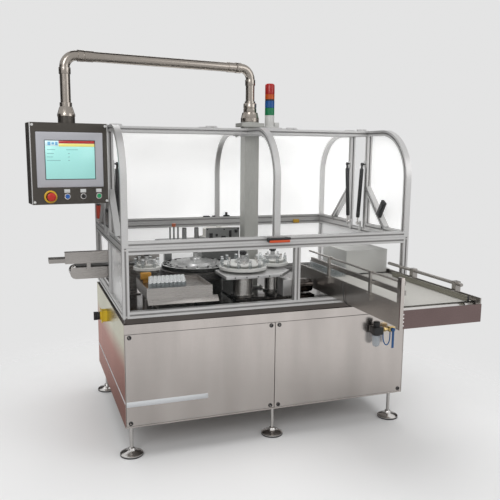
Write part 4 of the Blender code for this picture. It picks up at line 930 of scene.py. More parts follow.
def make_panel():
    """Screen with its bezel, the emergency stop, three buttons with blank labels and the screws."""
    keep_node("hmi_box", surface("panel_housing", colours().panel, 0.36, 0.85, (0.02, 1.0, 1.0), 600.0,
                                 0.07, 0.1), 0.0012)
    x, front, top = PANEL_X, PANEL_FRONT, PANEL_TOP
    frame_low, frame_high = top - 0.3025, top - 0.0435
    bezel = slab("bezel", (x - 0.1565, front - 0.005, frame_low), (x + 0.1565, front + 0.019, frame_high),
                 0.004, 3)
    cut = slab("glass_place", (x - 0.119, front - 0.02, top - 0.266), (x + 0.119, front - 0.0028,
                                                                       top - 0.08), 0.0006)
    carve(bezel, cut)
    paint(bezel, coloured("bezel_grey", (0.56, 0.56, 0.6), 0.42))
    soften(bezel, 50.0)
    frame_line = slab("screen_frame", (x - 0.1188, front - 0.0044, top - 0.2658),
                      (x + 0.1188, front - 0.0029, top - 0.0802), 0.0003, 1)
    paint(frame_line, black_plastic())
    glow = {"Emission_Strength": 0.42}
    screen_low, screen_high = top - 0.2625, top - 0.0835
    left, right = x - 0.1155, x + 0.1155

    def field(name, a, b, c, d, colour, lift=0.0):
        """A flat field of the display between two corners, given as shares of its width and height."""
        wide, tall = right - left, screen_high - screen_low
        piece = slab(name, (left + a * wide, front - 0.0049 - lift, screen_low + c * tall),
                     (left + b * wide, front - 0.0044, screen_low + d * tall), 0.0001, 1)
        return paint(piece, coloured(name, colour, 0.25, Emission_Color=(*colour, 1.0), **glow))

    fields = [field("display_face", 0.0, 1.0, 0.0, 1.0, (0.36, 0.72, 0.68)),
              field("display_corner", 0.0, 0.27, 0.86, 1.0, (0.62, 0.82, 0.86), 0.0003),
              field("display_title", 0.27, 1.0, 0.93, 1.0, (0.4, 0.03, 0.03), 0.0003),
              field("display_state", 0.27, 1.0, 0.85, 0.925, (0.78, 0.7, 0.2), 0.0003)]
    for a, b, c in ((0.03, 0.2, 0.76), (0.42, 0.66, 0.76), (0.03, 0.17, 0.66), (0.45, 0.49, 0.66),
                    (0.03, 0.15, 0.57), (0.45, 0.49, 0.57), (0.03, 0.3, 0.48), (0.45, 0.49, 0.48)):
        fields.append(field("display_lines", a, b, c, c + 0.016, (0.2, 0.42, 0.42), 0.0003))
    for a, b, c, d in ((0.05, 0.11, 0.88, 0.97), (0.13, 0.18, 0.9, 0.96), (0.2, 0.25, 0.88, 0.97)):
        fields.append(field("display_marks", a, b, c, d, (0.16, 0.4, 0.62), 0.0006))
    dress(swing(join("panel_screen", [bezel, frame_line] + fields)), "operator_panel", "hmi_screen",
          slot="screen_bezel")
    stop_x = x - 0.098
    collar = turned("stop_plate", [(0.03, 0.0), (0.03, 0.0042), (0.0285, 0.0052), (0.0225, 0.0056),
                                   (0.0215, 0.004)], 48, (stop_x, front + 0.0001, CONTROL_Z), "-Y")
    paint(collar, coloured("stop_yellow", (0.8, 0.48, 0.03), 0.4))
    trims = [collar]
    for dx in (-0.02, 0.056, 0.132):
        ring = turned("ring", [(0.0146, 0.0), (0.0146, 0.005), (0.0136, 0.0062), (0.0118, 0.0062),
                               (0.0114, 0.0048)], 32, (x + dx, front + 0.0001, CONTROL_Z), "-Y")
        trims.append(paint(ring, bright_metal()))
        tag = slab("label", (x + dx - 0.0135, front - 0.0022, CONTROL_Z + 0.0175),
                   (x + dx + 0.0135, front + 0.0002, CONTROL_Z + 0.0345), 0.0008)
        trims.append(paint(tag, coloured("label_white", (0.8, 0.81, 0.8), 0.45)))
    for dx in (-0.1705, 0.1705):
        for z in (PANEL_LOW + 0.012, PANEL_TOP - 0.012):
            screw = turned("screw", [(0.0062, 0.0), (0.0062, 0.0024), (0.005, 0.0034), (0.0018, 0.0036)],
                           20, (x + dx, front + 0.0001, z), "-Y")
            trims.append(paint(screw, coloured("screw_white", (0.78, 0.78, 0.76), 0.35)))
    for dx in (-0.1828, 0.1784):
        edge = slab("edge", (x + dx, front - 0.0008, PANEL_LOW + 0.002), (x + dx + 0.0044, front + 0.004,
                                                                         PANEL_TOP - 0.002), 0.0006)
        trims.append(paint(edge, aluminium()))
    dress(swing(join("panel_trims", trims)), "operator_panel", slot="chrome")
    head = turned("stop_head", [(0.0104, -0.015), (0.0104, 0.014), (0.012, 0.015), (0.0185, 0.019),
                                (0.02, 0.0205), (0.02, 0.0285), (0.0188, 0.031), (0.015, 0.033),
                                (0.008, 0.0338)], 48, (stop_x, front, CONTROL_Z), "-Y")
    dress(swing(head), "emergency_stop", "estop_head", look=coloured("stop_red", (0.62, 0.03, 0.02), 0.28),
          slot="stop_red")
    for name, dx, colour in (("blue", -0.02, (0.02, 0.14, 0.52)), ("black", 0.056, (0.02, 0.02, 0.02)),
                             ("green", 0.132, (0.02, 0.38, 0.14))):
        cap = turned(f"{name}_cap", [(0.0106, -0.006), (0.0106, 0.0066), (0.01, 0.0078), (0.0085, 0.0084),
                                     (0.006, 0.0078), (0.003, 0.0075)], 32, (x + dx, front, CONTROL_Z),
                     "-Y")
        dress(swing(cap), f"{name}_button", f"button_{name}", look=coloured(f"{name}_cap", colour, 0.22),
              slot=f"button_{name}")


# Signals
def make_signals():
    """Stack light in its coloured lenses, and the main switch."""
    x, y, z = STACK_X, MID_Y, BEAM_TOP + 0.0103
    r = 0.0262
    steps = ((1.696, 1.656, "lens_green", (0.005, 0.2, 0.075)),
             (1.734, 1.696, "lens_blue", (0.005, 0.085, 0.3)),
             (1.769, 1.742, "lens_orange", (0.55, 0.085, 0.006)))
    base = turned("base", [(0.0335, z), (0.034, z + 0.002), (0.034, z + 0.006), (r, z + 0.0085),
                           (r, 1.654), (r - 0.0012, 1.656)], 40, (x, y, 0.0))
    paint(base, coloured("lamp_base", (0.6, 0.6, 0.58), 0.35))
    parts = [base]
    for high, low, name, colour in steps:
        lens = turned(name, [(r - 0.0014, low), (r, low + 0.0012), (r, high - 0.0012), (r - 0.0014, high)],
                      40, (x, y, 0.0))
        parts.append(paint(lens, coloured(name, colour, 0.3)))
    dark = turned("dark", [(r - 0.0014, 1.734), (r - 0.0004, 1.7348), (r - 0.0004, 1.7412),
                           (r - 0.0014, 1.742)], 40, (x, y, 0.0))
    parts.append(paint(dark, black_plastic()))
    cap = turned("lens_red", [(r - 0.0014, 1.769), (r, 1.7702), (r, 1.818), (r - 0.002, 1.822),
                              (0.0195, 1.826), (0.01, 1.8268)], 40, (x, y, 0.0))
    parts.append(paint(cap, coloured("lens_red", (0.38, 0.008, 0.006), 0.3)))
    terminal = slab("terminal", (x + 0.025, y - 0.016, z + 0.0005), (x + 0.052, y + 0.016, z + 0.03),
                    0.003, 3)
    parts.append(paint(terminal, coloured("lamp_base", (0.6, 0.6, 0.58), 0.35)))
    dress(join("stack_lenses", parts), "machine", "stack_light", slot="light_tower")
    keep_node("main_switch_plate", coloured("switch_yellow", (0.8, 0.55, 0.03), 0.38), 0.0015, 3)
    keep_node("main_switch_knob", black_plastic(), 0.0015, 3)


# Mechanism
def vial_shape(name, x, y, z):
    """One glass vial: clear body, pale lip with a painted glow, and a dark disc of painted shade in its
    mouth.
    """
    r, h = sizes().vial_radius, sizes().vial_height
    glass = turned(name, [(r * 0.8, 0.0), (r, 0.0012), (r, h * 0.7), (r * 0.66, h * 0.8),
                          (r * 0.62, h * 0.86)], 16, (x, y, z))
    paint(glass, sheet_look("vial_glass", (0.5, 0.54, 0.55), 0.3, 0.06))
    lip = turned("lip", [(r * 0.7, h * 0.86), (r * 0.8, h * 0.88), (r * 0.8, h * 0.95),
                         (r * 0.7, h * 0.97), (r * 0.46, h * 0.97)], 16, (x, y, z))
    # The lip's glow is painted light
    paint(lip, sheet_look("vial_lip", (0.86, 0.88, 0.88), 0.8, 0.1, 0.12))
    mouth = turned("mouth", [(r * 0.44, h * 0.968), (r * 0.44, h * 0.974), (r * 0.4, h * 0.975)], 12,
                   (x, y, z))
    # The dark disc in the mouth is painted shade
    paint(mouth, coloured("vial_shade", (0.1, 0.105, 0.105), 0.3))
    return join(name, [glass, lip, mouth])


def arrayed(piece, name, count, step):
    """Repeats a piece along a step by the array modifier, applied."""
    rows = piece.modifiers.new("row", "ARRAY")
    rows.count = count
    rows.use_relative_offset = False
    rows.use_constant_offset = True
    rows.constant_offset_displace = step
    only(piece)
    bpy.ops.object.modifier_apply(modifier=rows.name)
    piece.name = name
    return piece


def hand_knob(name, centre, z):
    """A five-lobed black knob on a short stem."""
    x, y = centre
    core = turned(name, [(0.0115, -0.018), (0.0115, 0.0), (0.015, 0.001), (0.015, 0.016),
                         (0.012, 0.019)], 24, (x, y, z))
    lobe = turned("lobe", [(0.0058, 0.0005), (0.007, 0.002), (0.007, 0.015), (0.0056, 0.017)], 14,
                  (x + 0.0125, y, z))
    knob = join(name, [core, ring_of(lobe, "lobes", 5, centre)])
    return paint(knob, black_plastic())


def star_disc(name, centre, radius, pockets, low, high):
    """A white disc with round pockets in its rim, carved by turned cutters."""
    disc = turned(name, [(radius - 0.0015, low), (radius, low + 0.0012), (radius, high - 0.0012),
                         (radius - 0.0015, high)], 96, (*centre, 0.0))
    cutter = turned("cutter", [(0.0125, low - 0.01), (0.0125, high + 0.01)], 28,
                    (centre[0] + radius + 0.003, centre[1], 0.0))
    return soften(carve(disc, ring_of(cutter, "cutters", pockets, centre)), 40.0)


def make_wheels():
    """The three starwheels with their vials, hubs and hand knobs."""
    for name, body, centre, radius, pockets in (
            ("starwheel_main", "main_starwheel", WHEEL_1, 0.125, 12),
            ("starwheel_exit", "exit_starwheel", WHEEL_2, 0.085, 8),
            ("starwheel_infeed", "infeed_starwheel", WHEEL_3, 0.07, 6)):
        x, y = centre
        white, z = white_plastic(), WHEEL_Z
        rim = turned("rim", [(radius - 0.002, -0.006), (radius, -0.0045), (radius, 0.0085),
                             (radius - 0.002, 0.01)], 96, (x, y, z))
        parts = [paint(rim, white),
                 paint(star_disc("star", centre, radius - 0.013, pockets, z + 0.02, z + 0.027), white)]
        core = turned("core", [(0.018, PLATE_TOP + 0.0004), (0.018, z - 0.004), (radius * 0.62, z + 0.002),
                               (radius * 0.62, z + 0.0245)], 48, (x, y, 0.0))
        parts.append(paint(core, white))
        hub = turned("hub", [(0.045, 0.0262), (0.0452, 0.027), (0.0452, 0.033), (0.044, 0.0342),
                             (0.034, 0.0345), (0.0335, 0.046), (0.032, 0.0478), (0.012, 0.0482),
                             (0.012, 0.066)], 48, (x, y, z))
        parts.append(paint(hub, machined_bright()))
        post = turned("post", [(0.005, 0.026), (0.005, 0.04), (0.0072, 0.041), (0.0072, 0.047),
                               (0.006, 0.048)], 16, (x + radius * 0.66, y, z))
        parts.append(paint(ring_of(post, "posts", pockets // 2, centre, 0.26), bright_metal()))
        parts.append(hand_knob("knob", centre, z + 0.069))
        vial = vial_shape("vial", x + radius - 0.011, y, z + 0.0101)
        parts.append(ring_of(vial, "vials", pockets, centre))
        dress(join(f"{name}_set", parts), body, name, slot="white_plastic")


def make_turntable():
    """Bright carousel deck with arc slots in its rim, a clamp at each station and a hand knob."""
    (x, y), z = TURNTABLE, DECK_Z
    dark = surface("carousel_black_and_slot_shade", (0.03, 0.029, 0.028), 0.4, 0.4, EVEN, 300.0, 0.15, 0.15)
    deck = turned("deck", [(0.184, 0.0), (0.188, 0.0025), (0.188, 0.0195), (0.1845, 0.0215),
                           (0.12, 0.0215)], 96, (x, y, z))
    slot = slab("cutter", (x + 0.162, y - 0.025, z + 0.012), (x + 0.18, y + 0.025, z + 0.03), 0.002)
    carve(deck, ring_of(slot, "cutters", 16, TURNTABLE))
    paint(deck, machined_bright())
    # The black finish goes to faces low on the deck and inside the arc slots; in the slots it is painted
    # shade
    deck.data.materials.append(dark)
    for face in deck.data.polygons:
        away = math.hypot(face.center.x - x, face.center.y - y)
        if face.center.z < z + 0.019 or (0.1615 < away < 0.182 and face.center.z < z + 0.0214):
            face.material_index = 1
    parts = [soften(deck, 30.0)]
    crown = turned("crown", [(0.11, 0.021), (0.1095, 0.0225), (0.104, 0.033), (0.042, 0.0375),
                             (0.04, 0.039)], 72, (x, y, z))
    parts.append(paint(crown, machined_bright()))
    hub = turned("hub", [(0.033, 0.037), (0.033, 0.048), (0.03, 0.053), (0.015, 0.0545),
                         (0.014, 0.056), (0.014, 0.078)], 40, (x, y, z))
    parts.append(paint(hub, machined_bright()))
    bolt = turned("bolt", [(0.005, 0.02), (0.005, 0.0245), (0.004, 0.0255), (0.0022, 0.0245)], 14,
                  (x + 0.15, y, z))
    parts.append(paint(ring_of(bolt, "bolts", 16, TURNTABLE, math.pi / 16), dark))
    pad = slab("pad", (x + 0.12, y - 0.007, z + 0.021), (x + 0.142, y + 0.007, z + 0.025), 0.001)
    parts.append(paint(ring_of(pad, "pads", 16, TURNTABLE), aluminium()))
    parts.append(hand_knob("knob", TURNTABLE, z + 0.08))
    dress(join("carousel", parts), "turntable", "turntable_disc", slot="machined_plate")


def make_drive():
    """Bearing pot, support plate on two bright pillars with collars, and the geared motor."""
    floor, plate_low = TABLE_TOP + 0.0003, PLATE_TOP - 0.016
    plate = slab("plate", (-0.212, 0.14, plate_low), (0.17, 0.42, PLATE_TOP), 0.0012)
    edit(plate)
    bpy.ops.mesh.bisect(plane_co=(0.09, 0.14, 0.0), plane_no=(0.095, -0.08, 0.0), clear_outer=True,
                        use_fill=True)
    close_edit()
    under_deck = turned("cutter", [(0.1905, DECK_Z - 0.0004), (0.1905, 0.85)], 96, (*TURNTABLE, 0.0))
    carve(plate, under_deck)
    pot_bore = turned("cutter", [(0.1962, 0.8), (0.1962, 0.8244)], 96, (*TURNTABLE, 0.0))
    carve(plate, pot_bore)
    base = slab("base", (-0.145, 0.185, floor), (0.3, 0.425, 0.7018), 0.0015)
    pot = turned("pot", [(0.149, floor), (0.15, floor + 0.001), (0.15, 0.768), (0.195, 0.7835),
                         (0.196, 0.785), (0.196, 0.8176), (0.189, 0.8238)], 96, (*TURNTABLE, 0.0))
    for low, high in ((0.792, 0.7945), (0.808, 0.8105)):
        groove = turned("groove", [(0.1964, low), (0.1968, low + 0.0005), (0.1968, high - 0.0005),
                                   (0.1964, high)], 96, (*TURNTABLE, 0.0))
        pot = join("pot", [pot, groove])
    carve(base, turned("cutter", [(0.1502, 0.68), (0.1502, 0.72)], 96, (*TURNTABLE, 0.0)))
    paint(pot, surface("pot_dark", (0.06, 0.056, 0.053), 0.36, 0.7, (1.0, 1.0, 0.05), 300.0, 0.12, 0.18))
    parts = [paint(soften(plate, 40.0), aluminium()), paint(soften(base, 40.0), machined()), pot]
    for k in range(5):
        spot = (-0.165 + 0.062 * k, 0.1398, PLATE_TOP - 0.008)
        parts.append(paint(turned("screw", [(0.0036, 0.0), (0.0036, 0.0008), (0.003, 0.0012)], 14, spot,
                                  "-Y"), black_plastic()))
    for (x, y), r in ((WHEEL_1, 0.052), (WHEEL_2, 0.043)):
        pillar = turned("pillar", [(r + 0.0095, 0.699), (r + 0.01, 0.7), (r + 0.01, 0.7105),
                                   (r + 0.009, 0.712), (r + 0.0005, 0.7125), (r, 0.714), (r, 0.798),
                                   (r - 0.002, 0.799), (r - 0.002, 0.806), (r, 0.807), (r, 0.82)],
                        64, (x, y, 0.0))
        parts.append(paint(pillar, surface("pillar_steel", (0.46, 0.445, 0.425), 0.22, 1.0, (1.0, 1.0, 0.04),
                                           400.0, 0.06, 0.1)))
    motor = turned("motor", [(0.036, 0.17), (0.038, 0.172), (0.038, 0.21), (0.0364, 0.211),
                             (0.0364, 0.218), (0.038, 0.219), (0.038, 0.283), (0.034, 0.2842),
                             (0.034, 0.297), (0.03, 0.298)], 40, (0.0, 0.235, 0.746), "X")
    gear = slab("gear", (0.12, 0.195, 0.6995), (0.172, 0.275, 0.79), 0.004, 3)
    parts += [paint(motor, machined()), paint(gear, aluminium())]
    dress(join("wheel_drive", parts), "machine", "drive_unit", slot="stainless")


def make_tray():
    """Tray with its vials in staggered rows and an orange stop block."""
    keep_node("container_tray", dark_steel(), 0.0006)
    step = 0.02
    row = arrayed(vial_shape("vial", -0.612, 0.066, 0.8003), "vials", 9, (step, 0.0, 0.0))
    pair = join("vials", [row, copy_of(row, "next_row", (step / 2, step * 0.87, 0.0))])
    rows = arrayed(pair, "tray_vials", 5, (0.0065, step * 1.74, 0.0))
    dress(rows, "machine", slot="clear_sheet")
    block = slab("stop_block", (-0.618, 0.268, 0.8205), (-0.566, 0.296, 0.852), 0.002)
    stem = slab("stop_stem", (-0.606, 0.276, 0.8002), (-0.58, 0.288, 0.821), 0.001)
    dress(join("stop_block", [block, stem]), "machine",
          look=coloured("stop_orange", (0.62, 0.3, 0.04), 0.45))


def belt_loop(name, axis, low, high, start, end, z, radius, thick):
    """A belt round two drums: a strip carried along, round, back and round again."""
    clear_selection()
    bpy.ops.mesh.primitive_plane_add(size=1.0)
    belt = settle(bpy.context.active_object)
    belt.name = name
    middle = radius - thick / 2
    if axis == "Y":
        belt.scale = (high - low, thick, 1.0)
        belt.rotation_euler = (math.pi / 2, 0.0, 0.0)
        belt.location = ((low + high) / 2, start, z + middle)
        along, spin_axis, turn = Vector((0.0, end - start, 0.0)), (1.0, 0.0, 0.0), -math.pi
        hubs = ((0.0, end, z), (0.0, start, z))
    else:
        belt.scale = (thick, high - low, 1.0)
        belt.rotation_euler = (0.0, math.pi / 2, 0.0)
        belt.location = (start, (low + high) / 2, z + middle)
        along, spin_axis, turn = Vector((end - start, 0.0, 0.0)), (0.0, 1.0, 0.0), math.pi
        hubs = ((end, 0.0, z), (start, 0.0, z))
    settle(belt)
    edit(belt)
    bpy.ops.mesh.extrude_region_move(TRANSFORM_OT_translate={"value": along})
    bpy.ops.mesh.spin(steps=16, angle=turn, center=hubs[0], axis=spin_axis)
    bpy.ops.mesh.extrude_region_move(TRANSFORM_OT_translate={"value": -along})
    bpy.ops.mesh.spin(steps=16, angle=turn, center=hubs[1], axis=spin_axis)
    bpy.ops.mesh.select_all(action="SELECT")
    bpy.ops.mesh.remove_doubles(threshold=1e-5)
    bpy.ops.object.mode_set(mode="OBJECT")
    flat = along.normalized()
    pick(belt, lambda co, n: abs(n.dot(flat)) > 0.99 and co.z > z + radius * 0.5
         and abs((co - Vector((co.x, start, co.z) if axis == "Y" else (start, co.y, co.z))).length) < 1e-4)
    bpy.ops.mesh.delete(type="FACE")
    bpy.ops.mesh.select_all(action="SELECT")
    close_edit()
    return soften(belt)


def make_infeed():
    """Narrow infeed conveyor with its belt and end drum."""
    keep_node("infeed_frame", dark_steel(), 0.0006)
    (y0, y1), (drum_x, z) = INFEED_Y, INFEED_DRUM
    belt = belt_loop("infeed_belt_loop", "X", y0 + 0.0082, y1 - 0.0082, drum_x, -0.506, z, 0.033, 0.0034)
    dress(belt, "machine", "infeed_belt", look=surface("dark_belt", (0.06, 0.058, 0.055), 0.55, fine=300.0,
                                                       depth=0.25, bump=0.2), slot="belt_dark")
    drum = turned("infeed_end_drum", [(0.0078, y0 + 0.0057), (0.008, y0 + 0.0088), (0.027, y0 + 0.0092),
                                      (0.0284, y0 + 0.012), (0.0284, y1 - 0.012), (0.027, y1 - 0.0092),
                                      (0.008, y1 - 0.0088), (0.0078, y1 - 0.0057)], 40, (drum_x, 0.0, z),
                  "Y")
    dress(drum, "infeed_drum", "infeed_roller", look=bright_metal(), slot="chrome")


def make_outfeed():
    """Collecting conveyor: belt, end drum, vials, the end post's cover, side bar and sensor cable."""
    keep_node("outfeed_frame", outfeed_steel(), 0.0007)
    keep_node("discharge_cover", surface("cover_grey", (0.6, 0.6, 0.58), 0.4, 0.5, fine=200.0,
                                         depth=0.04), 0.0008)
    (x0, x1), (drum_y, z) = OUTFEED_X, OUTFEED_DRUM
    belt = belt_loop("outfeed_belt_loop", "Y", x0 + 0.0124, x1 - 0.0124, drum_y, 0.404, z, 0.03, 0.004)
    dress(belt, "machine", "outfeed_belt", look=surface("cream_belt", colours().belt, 0.6, fine=500.0,
                                                        depth=0.05, cloud=0.04, bump=0.1), slot="belt_cream")
    drum = turned("outfeed_end_drum", [(0.0088, x0 + 0.0068), (0.009, x0 + 0.0128), (0.024, x0 + 0.0132),
                                       (0.025, x0 + 0.016), (0.025, x1 - 0.016), (0.024, x1 - 0.0132),
                                       (0.009, x1 - 0.0128), (0.0088, x1 - 0.0068)], 40,
                  (0.0, drum_y, z), "X")
    dress(drum, "outfeed_drum", "outfeed_roller", look=bright_metal(), slot="chrome")
    rows = arrayed(vial_shape("vial", 0.366, 0.1, 0.8092), "vials", 4, (0.0205, 0.0, 0.0))
    rows = arrayed(rows, "belt_vials", 14, (0.0, 0.0215, 0.0))
    dress(rows, "machine", slot="clear_sheet")
    post = [paint(slab("post_cover", (x0 - 0.0148, POST_FRONT - 0.0012, 0.7215),
                       (x0 + 0.0012, POST_FRONT + 0.0003, 0.9455), 0.0006), steel())]
    for height in (0.74, 0.756, 0.772, 0.788):
        post.append(paint(turned("screw", [(0.0036, 0.0), (0.0036, 0.0018), (0.0026, 0.0026)], 16,
                                 (x0 + 0.0066, POST_FRONT + 0.006, height), "-Y"), bright_metal()))
    dress(join("post_cover", post), "machine")
    side = [paint(slab("side_bar", (0.666, -0.595, 0.8115), (0.6728, 0.01, 0.836), 0.0008),
                  surface("olive_bar", (0.27, 0.26, 0.215), 0.38, 0.6, fine=260.0, depth=0.05)),
            paint(slab("bar_cap", (0.6655, -0.599, 0.811), (0.6733, -0.5948, 0.8365), 0.0008),
                  black_plastic())]
    for y in (-0.47, -0.13):
        side.append(paint(slab("bar_stay", (0.6722, y - 0.009, 0.823), (0.688, y + 0.009, 0.833),
                               0.0006), aluminium()))
    dress(join("side_bar", side), "machine")
    hose("sensor_cable", [(0.304, -0.112, 0.824), (0.306, -0.124, 0.8), (0.3065, -0.126, 0.76),
                          (0.307, -0.136, 0.73), (0.316, -0.17, 0.72), (0.334, -0.21, 0.724)],
         0.002, black_plastic())


def make_labeller():
    """Label dispenser with its guide pins, a red knob and the reel of blank labels."""
    keep_node("label_head", surface("dispenser_grey", (0.26, 0.265, 0.26), 0.4, 0.4, fine=200.0,
                                    depth=0.06), 0.0008)
    x, y, z = -0.06, 0.776, 0.9553
    reel = turned("reel", [(0.102, 0.0), (0.104, 0.0008), (0.104, 0.0024), (0.103, 0.003),
                           (0.0945, 0.0033), (0.094, 0.0485), (0.0925, 0.05), (0.04, 0.0504),
                           (0.0385, 0.049), (0.0375, 0.053), (0.016, 0.0545), (0.0155, 0.061),
                           (0.012, 0.0618)], 64, (x, y, z))
    dress(reel, "reel", "label_reel", look=surface("wound_labels", (0.7, 0.69, 0.65), 0.65,
                                                   grain=(1.0, 1.0, 12.0), fine=60.0, depth=0.06),
          slot="reel_paper")
    knob = turned("pin_knob", [(0.0095, 1.0303), (0.011, 1.0315), (0.011, 1.04), (0.01, 1.042),
                               (0.0125, 1.043), (0.0125, 1.047), (0.0105, 1.0485)], 24,
                  (-0.349, 0.7, 0.0))
    dress(knob, "machine", look=coloured("knob_red", (0.52, 0.13, 0.05), 0.35))
    dark, parts = black_plastic(), []
    for px, wide, low, high in ((-0.15, 0.02, 0.956, 0.99), (-0.112, 0.012, 0.97, 0.986),
                                (-0.078, 0.026, 0.96, 0.972), (-0.03, 0.014, 0.964, 1.004),
                                (0.004, 0.018, 0.99, 1.008)):
        parts.append(slab("fitting", (px, 0.656, low), (px + wide, 0.6622, high), 0.001))
    for px, pz in ((-0.16, 1.012), (0.026, 1.012), (-0.16, 0.95), (0.026, 0.95), (-0.06, 1.01)):
        parts.append(turned("screw", [(0.004, 0.0), (0.004, 0.0022), (0.003, 0.0028)], 14,
                            (px, 0.6622, pz), "-Y"))
    for px in (-0.288, -0.216):
        parts.append(turned("cap", [(0.0105, 1.0178), (0.0115, 1.0184), (0.0115, 1.0215), (0.0095, 1.0224)],
                            24, (px, 0.7, 0.0)))
    dress(join("dispenser_fittings", parts), "machine", look=dark, slot="black_plastic")


def make_air():
    """Compressed-air set: black body, clear bowl, brass fittings and the blue hose loop."""
    brass = surface("brass", (0.62, 0.46, 0.2), 0.3, 0.9, fine=400.0, depth=0.06)
    block = paint(slab("block", (0.53, -0.062, 0.52), (0.585, -0.012, 0.56), 0.003, 3), black_plastic())
    mount = paint(slab("mount", (0.54, -0.013, 0.525), (0.575, -0.0004, 0.555), 0.001), aluminium())
    bowl = turned("bowl", [(0.008, 0.4522), (0.014, 0.456), (0.0185, 0.462), (0.0195, 0.475),
                           (0.0195, 0.515)], 32, (REGULATOR_X, REGULATOR_Y, 0.0))
    paint(bowl, sheet_look("bowl_clear", (0.55, 0.62, 0.68), 0.55, 0.12))
    collar = paint(turned("collar", [(0.0205, 0.514), (0.022, 0.515), (0.022, 0.5205), (0.0205, 0.5215)],
                          32, (REGULATOR_X, REGULATOR_Y, 0.0)), black_plastic())
    knob = paint(turned("knob", [(0.0165, 0.5595), (0.0175, 0.561), (0.0175, 0.57), (0.0165, 0.571),
                                 (0.0175, 0.572), (0.0175, 0.584), (0.014, 0.588)], 28,
                        (REGULATOR_X, REGULATOR_Y, 0.0)), black_plastic())
    pipe = paint(rod_between("pipe", (0.584, REGULATOR_Y, 0.54), (0.628, REGULATOR_Y, 0.54), 0.008,
                             24), brass)
    nut = paint(turned("nut", [(0.011, 0.594), (0.0116, 0.595), (0.0116, 0.61), (0.011, 0.611)], 6,
                       (0.0, REGULATOR_Y, 0.54), "X"), brass)
    valve = paint(slab("valve", (0.626, -0.05, 0.527), (0.662, -0.024, 0.553), 0.003, 3), brass)
    dress(join("air_set", [block, mount, bowl, collar, knob, pipe, nut, valve]), "machine", "air_regulator",
          slot="black_plastic")
    keep_node("air_valve_lever", coloured("lever_blue", (0.03, 0.13, 0.36), 0.4), 0.001, 2)
    points = [(0.5885, -0.05, 0.529)]
    for k in range(13):
        turn = math.pi * k / 12
        points.append((0.5885 + 0.021 * (1 - math.cos(turn)), -0.05 - 0.004 * math.sin(turn),
                       0.508 - 0.048 * math.sin(turn)))
    points.append((0.6305, -0.05, 0.527))
    hose("air_hose", points, 0.003, coloured("hose_blue", (0.04, 0.16, 0.42), 0.38))


def hose(name, points, radius, look):
    """A free hose of round section along a smooth line, which goes back into the machine."""
    clear_selection()
    bpy.ops.curve.primitive_nurbs_path_add()
    line = bpy.context.active_object
    line.name = name
    spline = line.data.splines[0]
    line.data.splines.remove(spline)
    spline = line.data.splines.new("POLY")
    smooth = smoothed([Vector(p) + SHIFT for p in points])
    spline.points.add(len(smooth) - 1)
    for point, place in zip(spline.points, smooth):
        point.co = (*place, 1.0)
    line.data.bevel_depth = radius
    line.data.bevel_resolution = 4
    line.data.use_fill_caps = True
    line.data.materials.append(look)
    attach(line, "machine")


def smoothed(points, rounds=3):
    """Cuts the corners of a line, keeping its ends."""
    for _ in range(rounds):
        finer = [points[0]]
        for a, b in zip(points, points[1:]):
            finer += [a * 0.75 + b * 0.25, a * 0.25 + b * 0.75]
        finer.append(points[-1])
        points = finer
    kept = [points[0]]
    for point in points[1:-1]:
        if (point - kept[-1]).length > 0.0035:
            kept.append(point)
    return kept + [points[-1]]


def make_details():
    """Small fittings: interlocks at the left end, and devices on the rear rails."""
    red = coloured("device_red", (0.46, 0.05, 0.025), 0.38)
    yellow = coloured("device_yellow", (0.66, 0.38, 0.03), 0.4)
    lock = [paint(slab("lock_body", (-0.749, 0.462, 1.06), (-0.723, 0.562, 1.155), 0.004, 3),
                  black_plastic()),
            paint(slab("lock_cover", (-0.751, 0.478, 1.075), (-0.7485, 0.546, 1.14), 0.001),
                  dark_steel()),
            paint(slab("lock_foot", (-0.746, 0.48, 1.0196), (-0.726, 0.545, 1.0605), 0.001), aluminium())]
    dress(join("guard_lock", lock), "machine")
    key = [paint(slab("key_body", (-0.749, 0.935, 1.062), (-0.721, 0.99, 1.138), 0.004, 3), red),
           paint(slab("key_cap", (-0.748, 0.94, 1.1378), (-0.722, 0.986, 1.148), 0.002), black_plastic()),
           paint(slab("key_foot", (-0.746, 0.945, 1.0505), (-0.724, 0.98, 1.0625), 0.001), aluminium())]
    dress(join("lock_key", key), "rear_hood")
    dress(slab("rail_sensor", (0.526, 0.992, 0.996), (0.566, 1.0038, 1.0185), 0.002, 3), "machine",
          look=yellow)
    catches = [slab("catch", (x, 0.995, 1.0504), (x + wide, 1.018, 1.0504 + tall), 0.001)
               for x, wide, tall in ((-0.088, 0.04, 0.006), (-0.028, 0.016, 0.006), (0.046, 0.036, 0.008),
                                     (0.058, 0.01, 0.026))]
    dress(join("rear_catches", catches), "rear_hood", look=black_plastic())


# Studio
def placed(name, data):
    """A camera or lamp as an object of the scene."""
    holder = bpy.data.objects.new(name, data)
    bpy.context.scene.collection.objects.link(holder)
    return holder


def make_camera():
    """The camera, from where the real machine was photographed."""
    camera = bpy.data.cameras.new("camera")
    camera.lens = CAMERA_LENS
    camera.sensor_width = 36.0
    camera.shift_x, camera.shift_y = CAMERA_SHIFT
    camera.clip_end = 60.0
    stand = placed("camera", camera)
    yaw, pitch, roll = (math.radians(turn) for turn in (CAMERA_YAW, CAMERA_PITCH, CAMERA_ROLL))
    ahead = Vector((math.sin(yaw) * math.cos(pitch), math.cos(yaw) * math.cos(pitch), math.sin(pitch)))
    right = Vector((math.cos(yaw), -math.sin(yaw), 0.0))
    up = right.cross(ahead)
    across = right * math.cos(roll) + up * math.sin(roll)
    upward = up * math.cos(roll) - right * math.sin(roll)
    matrix = stand.matrix_world.copy()
    for row in range(3):
        matrix[row][0], matrix[row][1], matrix[row][2] = across[row], upward[row], -ahead[row]
    matrix.translation = CAMERA_PLACE + SHIFT
    stand.matrix_world = matrix
    bpy.context.scene.camera = stand
    bpy.context.scene.view_settings.view_transform = "Standard"


